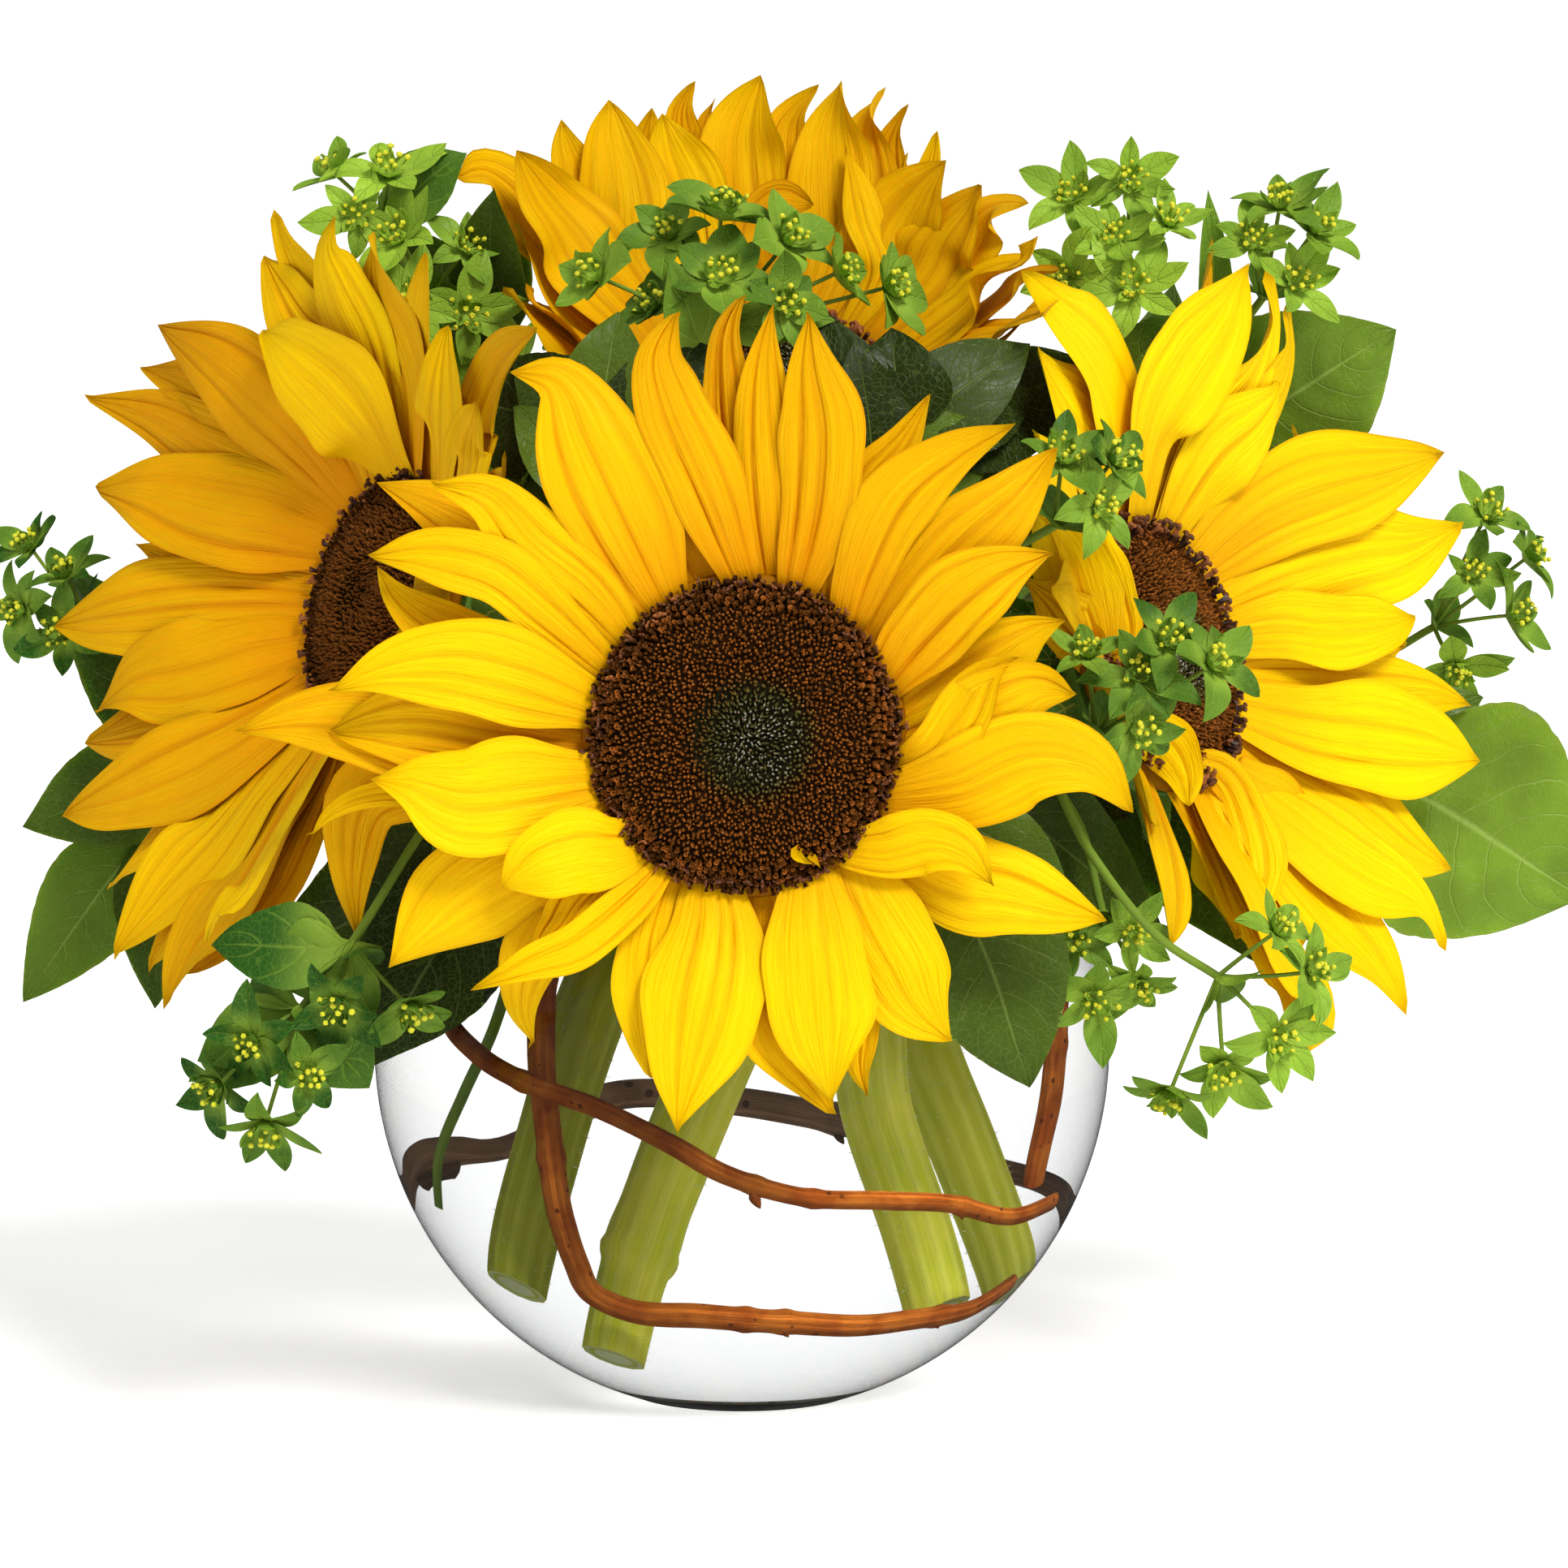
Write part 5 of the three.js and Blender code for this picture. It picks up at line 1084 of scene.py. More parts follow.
def stalk_finish(name, colour, pale, flutes=0.5):
    """A soft green stem: paler on its ridges, with fine lines, yellower patches and nearly white hairs."""
    finish, paint, shader = new_finish(
        name, Specular_IOR_Level=0.1, Subsurface_Weight=0.1, Subsurface_Scale=0.002
    )
    mark = paint.use(shared("marks"))
    lines = paint.use(
        shared("fibres"),
        {"Along": mark["Along"], "Across": mark["Groove"], "Tone": mark["Tone"], "Count": 6.0},
    )[0]
    patches = paint.use(shared("mottle"), {"Scale": 70.0})[0]
    shade = paint.between(mark["Tone"], 0.0, 0.7, 0.0, 1.0)
    ridge = paint.between(mark["Groove"], 0.0, 1.0, flutes, 0.0)
    ridge = paint.product(ridge, paint.between(shade, 0.0, 1.0, 0.3, 1.0))
    mixed = paint.blend(ridge, paint.blend(shade, darker(colour, 0.45), colour), pale)
    mixed = paint.blend(paint.product(lines, 0.35), mixed, darker(colour, 0.6))
    yellow = (pale[0] * 1.1, pale[1] * 0.95, pale[2] * 0.6)
    mixed = paint.blend(paint.product(patches, shade, 0.4), mixed, yellow)
    mixed = paint.blend(paint.between(mark["Tone"], 0.8, 0.9), mixed, tint(222, 228, 190))
    paint.feed(shader["Base Color"], mixed)
    paint.feed(shader["Roughness"], paint.between(patches, 0.0, 1.0, 0.42, 0.58))
    height = paint.sum("ADD", lines, paint.noise(paint.place(), 900.0))
    paint.feed(shader["Normal"], paint.bump(height, 0.0002, 0.6))
    return finish


def cut_finish(name, rim, pith):
    """The cut end of a stem: its bark or skin, a ring of wood and the pith."""
    finish, paint, shader = new_finish(name)
    mark = paint.use(shared("marks"))
    spots = paint.use(shared("specks"), {"Scale": 1400.0, "Size": 0.35, "Share": 0.5})[0]
    ring = (0.72, darker(rim, 0.8))
    colour = paint.ramp(mark["Along"], (0.0, pith), (0.55, pith), ring, (0.86, pith), (1.0, rim))
    paint.feed(shader["Base Color"], paint.blend(paint.product(spots, 0.35), colour, darker(rim, 0.7)))
    paint.feed(shader["Roughness"], paint.between(mark["Along"], 0.0, 1.0, 0.9, 0.6))
    paint.feed(shader["Normal"], paint.bump(paint.noise(paint.place(), 1200.0), 0.0003))
    return finish


def leaf_finish(
    name, face, light, vein, pairs=6.0, slant=0.5, gloss=0.32, width=0.06, under=False, coat=0.0, heart=0.0
):
    """A leaf or bract with its veins. heart is how far a bract takes the veins' colour at its root."""
    finish, paint, shader = new_finish(
        name, Specular_IOR_Level=0.15, Coat_Roughness=0.25, Coat_Weight=coat, Subsurface_Weight=0.08,
        Subsurface_Scale=0.001, Subsurface_Radius=(0.4, 1.0, 0.1),
    )
    mark = paint.use(shared("marks"))
    veins = paint.use(
        shared("veins"),
        {"Along": mark["Along"], "Across": mark["Across"], "Pairs": pairs, "Slant": slant, "Width": width},
    )
    patches = paint.use(shared("mottle"), {"Scale": 60.0})[0]
    colour = paint.blend(mark["Tone"], face, light)
    colour = paint.blend(paint.product(patches, 0.25), colour, darker(face, 0.7))
    colour = paint.blend(paint.product(veins["Net"], 0.1), colour, vein)
    strong = paint.between(mark["Tone"], 0.0, 0.6, 0.2, 0.5)
    colour = paint.blend(paint.product(veins["Veins"], strong), colour, vein)
    if heart:
        colour = paint.blend(paint.between(mark["Along"], 0.0, 0.6, heart, 0.0), colour, vein)
    paint.feed(shader["Base Color"], colour)
    rough = paint.between(patches, 0.0, 1.0, gloss, gloss + 0.16)
    paint.feed(shader["Roughness"], paint.sum("ADD", rough, paint.product(veins["Veins"], 0.1)))
    sink = paint.sum("ADD", veins["Veins"], paint.product(veins["Net"], 0.25))
    paint.feed(shader["Normal"], paint.bump(sink, 0.00025 if under else -0.00025, 0.9))
    return finish


def bark_finish(name, face, light):
    finish, paint, shader = new_finish(name, Specular_IOR_Level=0.08)
    mark = paint.use(shared("marks"))
    patches = paint.use(shared("mottle"), {"Scale": 130.0})[0]
    along = paint.product(mark["Along"], 6.0)
    lines = paint.use(
        shared("fibres"), {"Along": along, "Across": mark["Across"], "Tone": mark["Tone"], "Count": 10.0}
    )[0]
    dots = paint.use(shared("specks"), {"Scale": 420.0, "Size": 0.22, "Share": 0.3})[0]
    colour = paint.blend(patches, face, light)
    colour = paint.blend(paint.product(lines, 0.45), colour, darker(face, 0.5))
    colour = paint.blend(paint.product(dots, 0.8), colour, darker(face, 0.22))
    colour = paint.blend(paint.between(mark["Tone"], 0.75, 0.95), colour, darker(face, 0.35))
    paint.feed(shader["Base Color"], colour)
    paint.feed(shader["Roughness"], paint.between(lines, 0.0, 1.0, 0.4, 0.62))
    height = paint.sum("SUBTRACT", paint.product(lines, 0.6), paint.product(dots, 0.8))
    paint.feed(shader["Normal"], paint.bump(height, 0.0003, 0.8))
    return finish


def yellow_floret_finish(colour):
    finish, paint, shader = new_finish("bupleurum_florets")
    mark = paint.use(shared("marks"))
    green = (colour[0] * 0.45, colour[1] * 0.6, colour[2])
    paint.feed(shader["Base Color"], paint.blend(paint.between(mark["Across"], 0.1, 0.9), green, colour))
    paint.feed(shader["Roughness"], paint.between(mark["Tone"], 0.0, 1.0, 0.5, 0.7))
    paint.feed(shader["Normal"], paint.bump(paint.noise(paint.place(), 3000.0), 0.0001))
    return finish


def let_light_through(finish, paint):
    """The lamps' light passes through glass and water to what stands in them."""
    tree = finish.node_tree
    clear, mixed = paint.node("ShaderNodeBsdfTransparent"), paint.node("ShaderNodeMixShader")
    paint.feed(mixed.inputs[0], paint.node("ShaderNodeLightPath").outputs["Is Shadow Ray"])
    tree.links.new(tree.nodes["Principled BSDF"].outputs[0], mixed.inputs[1])
    tree.links.new(clear.outputs[0], mixed.inputs[2])
    tree.links.new(mixed.outputs[0], tree.nodes["Material Output"].inputs["Surface"])


def glass_finish(settings):
    finish, paint, shader = new_finish(
        "blown_glass", Base_Color=tuple(settings.glass), Transmission_Weight=1.0, IOR=1.5, Metallic=0.0,
    )
    waves = paint.noise(paint.place(), 18.0, 1.0)
    paint.feed(shader["Roughness"], paint.between(paint.noise(paint.place(), 60.0), 0.55, 0.8, 0.0, 0.02))
    paint.feed(shader["Normal"], paint.bump(waves, 0.0004, 0.25))
    let_light_through(finish, paint)
    return finish


def water_finish(settings):
    finish, paint, shader = new_finish(
        "water", Base_Color=tuple(settings.water), Transmission_Weight=1.0, IOR=1.333, Metallic=0.0,
        Roughness=0.0,
    )
    paint.feed(shader["Normal"], paint.bump(paint.noise(paint.place(), 22.0, 0.0), 0.0002, 0.15))
    let_light_through(finish, paint)
    return finish

# ---------------------------------------------------------------- bowl and water


def rise_to(radius, height):
    """The angle, measured up from the ball's lowest point, at which a shell of it reaches a height."""
    return math.acos((BOWL_CENTRE - height) / radius)


def arc(radius, low, high, steps):
    """Points [radius, height] of the ball's profile between two angles."""
    turn = np.linspace(low, high, steps + 1)
    return np.stack([radius * np.sin(turn), BOWL_CENTRE - radius * np.cos(turn)], 1)


MOUTH = math.pi - math.asin(BOWL_NECK / INNER_RADIUS)


def glass_bowl(settings):
    skin = Skin()
    outside = arc(BOWL_RADIUS, rise_to(BOWL_RADIUS, 0.35), MOUTH, 72)
    inside = arc(INNER_RADIUS, rise_to(INNER_RADIUS, BOWL_FLOOR + 0.25), MOUTH, 66)[::-1]
    out = np.array([math.sin(MOUTH), -math.cos(MOUTH)])
    up = np.array([math.cos(MOUTH), math.sin(MOUTH)])
    middle = (outside[-1] + inside[0]) / 2
    turn = np.linspace(0, math.pi, 11)[1:-1, None]
    lip = middle + BOWL_WALL / 2 * (np.cos(turn) * out + np.sin(turn) * up * 1.15)
    foot = [[0, 0], [14, 0], [outside[0, 0] - 2.2, 0], [outside[0, 0] - 0.6, 0.08]]
    floor = [[inside[-1, 0] - 1.2, BOWL_FLOOR + 0.04], [12, BOWL_FLOOR], [0, BOWL_FLOOR]]
    turned(skin, np.vstack([foot, outside, lip, inside, floor]), 144)
    skin.piece("clear_glass_bowl", ["glass_bowl"], [glass_finish(settings)], crease=80)


def bowl_water(settings):
    """The water reaches a little way into the glass, so that light passes from one to the other with no air
    between them."""
    skin = Skin()
    radius = INNER_RADIUS + 0.4
    floor = BOWL_FLOOR - 0.4
    side = arc(radius, rise_to(radius, floor), rise_to(radius, WATER_LEVEL + 1.0), 60)
    reach = side[-1, 0]
    out = np.linspace(0, 1, 13)
    top = np.stack([reach - 9 * out, WATER_LEVEL + 1.2 * np.exp(-(9 * out) / 1.6)], 1)
    turned(skin, np.vstack([[[0, floor]], side, top[1:], [[0, WATER_LEVEL]]]), 144)
    skin.piece("bowl_water", ["water"], [water_finish(settings)], crease=80)


# ---------------------------------------------------------------- sunflowers


def ring_point(radius, angle, height):
    turn = math.radians(angle)
    return np.array([radius * math.cos(turn), radius * math.sin(turn), height])


def tapered(width, peak, point, root=0.42):
    """The half width of a petal that is widest at its peak and drawn out to a fine tip."""

    def half(s):
        grow = root + (1 - root) * np.sin(np.minimum(s / peak, 1) * math.pi / 2)
        gone = np.clip((s - peak) / (1 - peak), 0, 1)
        return width / 2 * grow * (1 - gone**point) * (1 - 0.35 * gone**1.5)

    return half


TO_THE_SIDE = [-0.85, 0, 0.5]


AHEAD = np.array([0, math.cos(VIEW_DOWN), -math.sin(VIEW_DOWN)])
UPRIGHT = np.array([0, math.sin(VIEW_DOWN), math.cos(VIEW_DOWN)])
EYE = VIEW_MIDDLE - AHEAD * VIEW_DISTANCE
# where a line of sight is searched for the petals' surface, before and behind the last place
SEARCH = np.linspace(-45, 45, 361)
FIRST_REACH = 55
WIDEST_PETAL = 21
BROADEST_PETAL = 25
DEEP_TONE = 40
# a petal seen edge on is drawn as if this much of its width could be seen
LEAST_SHOWN = 0.6


def sight(pixel):
    """The way in which the eye sees a pixel of the photo."""
    across, down = (pixel - PHOTO_SIZE / 2) * PIXEL
    return unit(AHEAD * VIEW_DISTANCE + [across, 0, 0] - UPRIGHT * down)


def on_view(point):
    """Where the eye sees a point, in millimetres across and up."""
    away = point - EYE
    return np.array([away[0], away @ UPRIGHT]) * VIEW_DISTANCE / (away @ AHEAD)


def shaded(bloom, tone, tip):
    """A petal's tone, changed where its tip lies far to a side that the bloom names: painted shade and light.
    """
    for way, beyond, change in bloom.get("shade", []):
        if np.dot(way, tip) > beyond:
            tone += change
    # Deep tones are made deeper still: painted shade.
    if tone >= DEEP_TONE:
        tone += bloom.get("deeper", 0)
    return np.clip(tone, 0, 100)


def photo_petal(bloom, row):
    """A petal of the photo as one that is placed. Its midrib lies where the lines of sight meet the surface
    of its layer, which is a cone round the disc that bulges between the disc and the petal's tip."""
    spine = np.reshape(row[:10], (5, 2))
    wide, lift, bulge, layer, tone = row[10:]
    centre, rim, facing = np.array(bloom["centre"], float), bloom["disc"], unit(bloom["facing"])
    right = unit(np.cross(bloom["up"], facing))
    axes = np.array([right, np.cross(facing, right), facing])
    slope = math.tan(math.radians(lift))

    def seen_at(way, distance):
        return (EYE + np.multiply.outer(distance, way) - centre) @ axes.T

    def meets_layer(way, near, reach):
        distance = near + SEARCH
        x, y, z = seen_at(way, distance).T
        out = np.hypot(x, y) - rim
        share = np.clip(out / max(reach - rim, 5), 0, 1.2)
        above = z - (layer + out * slope + bulge * 4 * share * (1 - share))
        meets = np.flatnonzero(above[:-1] * above[1:] <= 0)
        if not len(meets):
            return distance[np.argmin(np.abs(above))]
        k = meets[np.argmin(np.abs(distance[meets] - near))]
        return distance[k] + (distance[k + 1] - distance[k]) * above[k] / (above[k] - above[k + 1])

    way = sight(spine[0])
    root = seen_at(way, (centre + facing * layer - EYE) @ facing / (way @ facing))
    angle = math.atan2(root[1], root[0])
    on_rim = np.array([rim * math.cos(angle), rim * math.sin(angle), layer]) @ axes + centre
    reach = rim + FIRST_REACH
    # the surface reaches as far as the petal does, so it is found in rounds
    for _ in range(3):
        points, distance = [], np.linalg.norm(on_rim - EYE)
        for pixel in spine[1:]:
            way = sight(pixel)
            distance = meets_layer(way, distance, reach)
            points.append(seen_at(way, distance))
        reach = max(math.hypot(*point[:2]) for point in points)
    turn = math.atan2(points[0][1], points[0][0]) - angle
    angle += bloom["root_turn"] * ((turn + math.pi) % (2 * math.pi) - math.pi)
    middle, along = points[1], unit(points[2] - points[0])
    side = unit(np.cross(along, [0, 0, 1]))
    near_by = (middle, middle + side, middle + along)
    base, beside, further = (on_view(point @ axes + centre) for point in near_by)
    across, drawn = beside - base, unit(further - base)
    shown = abs(across[0] * drawn[1] - across[1] * drawn[0])
    width = min(wide * PIXEL / max(shown, LEAST_SHOWN), WIDEST_PETAL)
    # to whole millimetres and degrees, by way of tenths
    start = np.round(ring_point(rim - ROOT_INSET, math.degrees(angle), 0), 1)
    points = np.round(np.round(points, 1))
    tone = shaded(bloom, tone, points[-1])
    return np.round([round(width, 1), tone, math.degrees(math.atan2(start[1], start[0])), *points.ravel()])


def seen_petal(skin, bloom, row, settings, rng, face=(0, 0, 1)):
    """A petal on the smooth curve through its root and four points of its midrib."""
    width, tone, root = row[:3]
    width = min(width * bloom["breadth"], BROADEST_PETAL)
    points = np.array(row[3:], float).reshape(4, 3)
    front = points[-1][2] > points[0][2]
    start = ring_point(bloom["disc"] - ROOT_INSET, root, 0.8 if front else -1.6)
    rib, _ = smooth_path(np.vstack([start, points]), PETAL_ROWS)
    curl, blunt = bloom.get("curl", 1), bloom.get("blunt", 0)
    pleated_petal(skin, rib, width, tone / 100, settings, rng, curl, blunt, face)


def hidden_petal(skin, bloom, row, settings, rng):
    """A petal behind the others, on one bend from its root to its tip."""
    angle, length, width, lift = row
    reach = bloom["disc"] + 1 + length * math.cos(math.radians(lift))
    rise = length * math.sin(math.radians(lift))
    base = rng.uniform(-2.2, -0.4)
    rib = bend_points(
        ring_point(bloom["disc"] - ROOT_INSET, angle, base - 0.4),
        ring_point(
            (bloom["disc"] + 1 + reach) / 2, angle + rng.uniform(-3, 3), base + rise / 2 + bloom["bulge"]
        ),
        ring_point(reach, angle + rng.uniform(-3, 3), base + rise),
        PETAL_ROWS + 1,
    )
    pleated_petal(skin, rib, width * 1.1, rng.uniform(0.2, 0.6), settings, rng)


def pleated_petal(skin, rib, width, tone, settings, rng, curly=1, blunt=0, face=(0, 0, 1)):
    """A petal on its midrib, pleated lengthwise, cupped, and curled and twisted towards its tip."""
    half = tapered(width * settings.fullness, rng.uniform(0.44, 0.6), rng.uniform(2.0, 2.9) + blunt)
    grooves = rng.integers(3, 7)
    at = (np.arange(grooves) + 0.5) / grooves * 1.7 - 0.85 + rng.uniform(-0.22, 0.22, grooves)
    strong = rng.uniform(0.15, 1.0, grooves) ** 1.4
    narrow = rng.uniform(0.045, 0.085, grooves)
    depth = settings.pleat / MM * (0.75 + 0.45 * tone)
    fold = rng.uniform(-0.18, 0.1)
    ruffle, waves, phase = rng.uniform(0.5, 1.5), rng.uniform(0.7, 1.6), rng.uniform(0, 1)
    curl = rng.uniform(-1.2, 0.8) * settings.curl / MM * curly
    roll = rng.uniform(-0.1, 0.5)

    def groove(s, t):
        lines = sum(
            share * np.exp(-(((t - place * (1 - 0.3 * s)) / wide) ** 2))
            for place, share, wide in zip(at, strong, narrow)
        )
        return lines * np.clip(1.2 - s, 0, 1) ** 0.7 * np.clip(0.25 + 3 * s, 0, 1) * (1 - np.abs(t) ** 8)

    def raised(s, t):
        cup = (fold + roll * s**3) * half(s) * np.abs(t) ** 1.8
        wavy = ruffle * t**3 * np.sin(2 * math.pi * (waves * s + phase)) * s**0.7
        tip = curl * np.clip((s - 0.6) / 0.4, 0, 1) ** 2
        return cup + wavy + tip - depth * groove(s, t)

    def frill(s, t):
        side = np.sign(t)
        return 1 + 0.05 * np.abs(t) ** 2 * np.sin(2 * math.pi * (2.3 * s + phase + 0.37 * side) + 3 * side)

    blade(
        skin, rib, face, half, raised, settings.thickness / MM, across=31, twist=rng.uniform(-0.5, 0.5),
        tone=tone, groove=groove, frill=frill,
    )


def petals(name, settings):
    bloom = BLOOMS[name]
    rng = np.random.default_rng(bloom["seed"])
    skin = Skin()
    skin.stand_on(bloom)
    inner, outer = bloom["disc"] - RING_INSET, bloom["disc"] + 1
    ring = [
        [inner, RING_BACK], [outer, RING_BACK + 0.8], [outer + 0.6, -0.3], [outer, RING_FRONT - 0.8],
        [inner, RING_FRONT],
    ]
    turned(skin, ring, 64, along=[0.0] * 5)
    seen = [photo_petal(bloom, row) for row in bloom["petals"]]
    for turn, text in bloom.get("placed", {}).items():
        seen.insert(turn, rows(text)[0])
    for row in seen:
        seen_petal(skin, bloom, row, settings, rng)
    for row in bloom.get("turned", []):
        seen_petal(skin, bloom, row, settings, rng, TO_THE_SIDE)
    for row in bloom.get("hidden", []):
        hidden_petal(skin, bloom, row, settings, rng)
    if name == "front":
        # a scrap of a petal has stuck among the florets
        for rib, face, width, curve, tone in (
            ([[10.4, -21.5, 4.5], [9, -23, 9], [13.2, -24.6, 8.2]], [0, -0.3, 1], 2.6, 0.5, 0.2),
            ([[12.4, -23.5, 4.5], [12.6, -22.5, 8], [14.6, -25.6, 6.4]], [0.4, 0, 1], 1.8, 0.3, 0.6),
        ):
            blade(
                skin, bend_points(*rib, 9), face, tapered(width, 0.4, 1.6), lambda s, t: curve * t**2, 0.3,
                across=7, tone=tone,
            )
    # The top bloom's root colour is darker: deeper painted shade at the feet and in the pleats of its petals.
    root = darker(settings.root, 0.75 if name == "top" else 1)
    finish = petal_finish(f"{name}_petals", tuple(getattr(settings, name)), root, settings)
    skin.piece(f"{name}_bloom_petals", [f"sunflower_{name}_petals"], [finish], crease=60)


GOLDEN_ANGLE = 137.50776


def disc_height(bloom, share):
    dome = bloom["dome"] * (1 - share**2.6)
    return 2.2 + dome - 2.2 * np.exp(-((share / 0.28) ** 2))


CLOSED_FLORET = bud_shape([(0.3, -0.3), (0.46, 0.3), (0.36, 0.72)], 5, tip=1)
OPEN_FLORET = bud_shape([(0.3, -0.3), (0.36, 0.45), (0.3, 0.75), (0.52, 1.0), (0.34, 0.92)], 5, sink=0.6)


def forked_stigma():
    """A stigma on its stalk, one long, with two curled arms."""
    skin = Skin()
    stalk(skin, [[0, 0, 0], [0.01, 0, 0.35], [0, 0, 0.7]], [0.05, 0.07, 0.1], 5)
    for way in (1, -1):
        arm = bend_points([0, 0, 0.66], [0.08 * way, 0, 1.0], [0.2 * way, 0.03, 0.86], 6)
        stalk(skin, arm, np.linspace(0.11, 0.08, 6), 5, round_end=True)
    quads = [f for f in skin.faces if len(f) == 4]
    corners = [f for f in skin.faces if len(f) == 3]
    return np.vstack(skin.points), [np.array(quads), np.array(corners)]


def disc(name, settings, finishes):
    bloom = BLOOMS[name]
    rng = np.random.default_rng(bloom["seed"] + 100)
    skin = Skin()
    skin.stand_on(bloom)
    rim = bloom["disc"] - 0.5
    floor = RING_FRONT + 0.3
    share = np.linspace(1, 0, 36)
    dome = np.stack([rim * share, disc_height(bloom, share)], 1)
    profile = np.vstack([[[0, floor], [rim - 0.6, floor]], dome])
    turned(skin, profile, 72, tone=0.0, along=np.r_[0, 1, share])

    count = round(settings.florets * (bloom["disc"] / 30) ** 2)
    number = np.arange(count)
    share = np.sqrt((number + 0.5) / count)
    turn = np.radians(GOLDEN_ANGLE) * number
    out = np.stack([np.cos(turn), np.sin(turn), np.zeros(count)], 1)
    slope = (disc_height(bloom, share + 0.01) - disc_height(bloom, share - 0.01)) / (0.02 * rim)
    upright = np.stack([-out[:, 0] * slope, -out[:, 1] * slope, np.ones(count)], 1)
    at = out * (rim * share)[:, None]
    at[:, 2] = disc_height(bloom, share)
    gap = rim * math.sqrt(math.pi / count)
    at[:, :2] += rng.normal(0, 0.16 * gap, (count, 2))
    loose = rng.normal(0, 0.2, (count, 3))
    # The left bloom's florets are given lower tones, so fewer light tips: painted shade on that bloom's disc.
    tones = rng.random(count) * (0.6 if name == "left" else 1)
    # the sunk heart of closed florets lies a little to one side
    seen = np.hypot(at[:, 0] - 3.5 * (1 - share), at[:, 1] + 1.5 * (1 - share)) / rim
    # On the left bloom more florets take the dark rim colour: painted shade as well.
    seen = seen + (0.4 if name == "left" else 0) * (1 - seen)
    heart, open_ones = share < 0.33, share + rng.normal(0, 0.02, count) > 0.83
    plain = ~heart & ~open_ones
    for chosen, shape, lean, wide, tall in (
        (heart, CLOSED_FLORET, -0.4, 0.72, 1.8),
        (plain, CLOSED_FLORET, 0.1, 0.9, 1.7),
        (open_ones, OPEN_FLORET, 0.35, 1.2, 2.0),
    ):
        axes = (upright + out * lean + loose)[chosen]
        heights = tall * rng.uniform(0.6, 1.25, chosen.sum())
        scatter(
            skin, shape, at[chosen], axes, gap * wide * rng.uniform(0.85, 1.1, chosen.sum()), heights,
            seen[chosen], tones[chosen], rng,
        )
    stamens = round(5.5 * bloom["disc"])
    turn = 2 * math.pi * (np.arange(stamens) + rng.uniform(-0.4, 0.4, stamens)) / stamens
    share = rng.uniform(0.9, 1.0, stamens)
    out = np.stack([np.cos(turn), np.sin(turn), np.zeros(stamens)], 1)
    at = out * (rim * share)[:, None]
    at[:, 2] = disc_height(bloom, share) - 0.2
    axes = out * rng.uniform(0.2, 1.5, stamens)[:, None] + [0, 0, 1] + rng.normal(0, 0.15, (stamens, 3))
    size = rng.uniform(2.6, 4.4, stamens) * {"front": 0.8, "left": 1.0}.get(name, 1.3)
    scatter(skin, forked_stigma(), at, axes, size, size, 1.0, rng.random(stamens), rng, finish=1)
    skin.piece(f"{name}_bloom_disc", [f"sunflower_{name}_disc"], finishes, crease=70)


CUP_DEPTH = 13
BRACT_ROWS = 19
BRACT_HAIRS = 26


def bract(skin, bloom, index, count, settings, rng):
    """One of the pointed green bracts behind a bloom, in three rows, with hairs along its edges."""
    row = index % 3
    angle = 360 * index / count + rng.uniform(-4, 4)
    lift = bloom["bract_lift"] - 7 * row + rng.uniform(-4, 4)
    low = math.sin(math.radians(angle)) < -0.2
    length = (bloom["low_bract_length"] if low else bloom["bract_length"]) * rng.uniform(0.82, 1.02)
    root = bloom["disc"] - 1 - (bloom["bract_step"] + 1.7) * row
    height = RING_BACK - 1.6 - bloom["bract_step"] * row
    reach = root + length * math.cos(math.radians(lift))
    rise = length * math.sin(math.radians(lift))
    rib = bend_points(
        ring_point(root - 2, angle, height + 0.4),
        ring_point((root + reach) / 2, angle, height + rise / 2 - 1.2),
        ring_point(reach, angle + rng.uniform(-6, 8), height + rise + rng.uniform(-1.5, 2)),
        BRACT_ROWS,
    )
    width = rng.uniform(12, 15)

    def half(s):
        swell = 0.8 + 0.2 * np.sin(math.pi * np.minimum(s * 2.2, 1))
        return width / 2 * swell * (1 - s) ** 0.75 * (1 - 0.35 * s)

    def raised(s, t):
        rib_line = 0.25 * np.exp(-((t / 0.16) ** 2))
        return 0.12 * half(s) * t**2 - rib_line + 0.2 * np.cos(math.pi * 3 * t) * (1 - s)

    blade(skin, rib, [0, 0, 1], half, raised, 0.5, across=11, tone=rng.random(), finish=1)
    s = rng.uniform(0.05, 0.95, BRACT_HAIRS)
    side = unit(np.cross(rib[-1] - rib[0], [0, 0, 1]))
    hand = rng.choice([-1, 1], BRACT_HAIRS)
    at = np.stack([np.interp(s, np.linspace(0, 1, BRACT_ROWS), rib[:, k]) for k in range(3)], 1)
    at = at + side * (half(s) * hand)[:, None] * 0.98
    lean = side * hand[:, None] + unit(rib[-1] - rib[0]) * 0.5 + rng.normal(0, 0.2, (BRACT_HAIRS, 3))
    tall = settings.hair / MM * rng.uniform(0.5, 1.1, BRACT_HAIRS)
    scatter(skin, BRISTLE, at, lean, HAIR_WIDTH, tall, s, HAIR_TONE, rng)


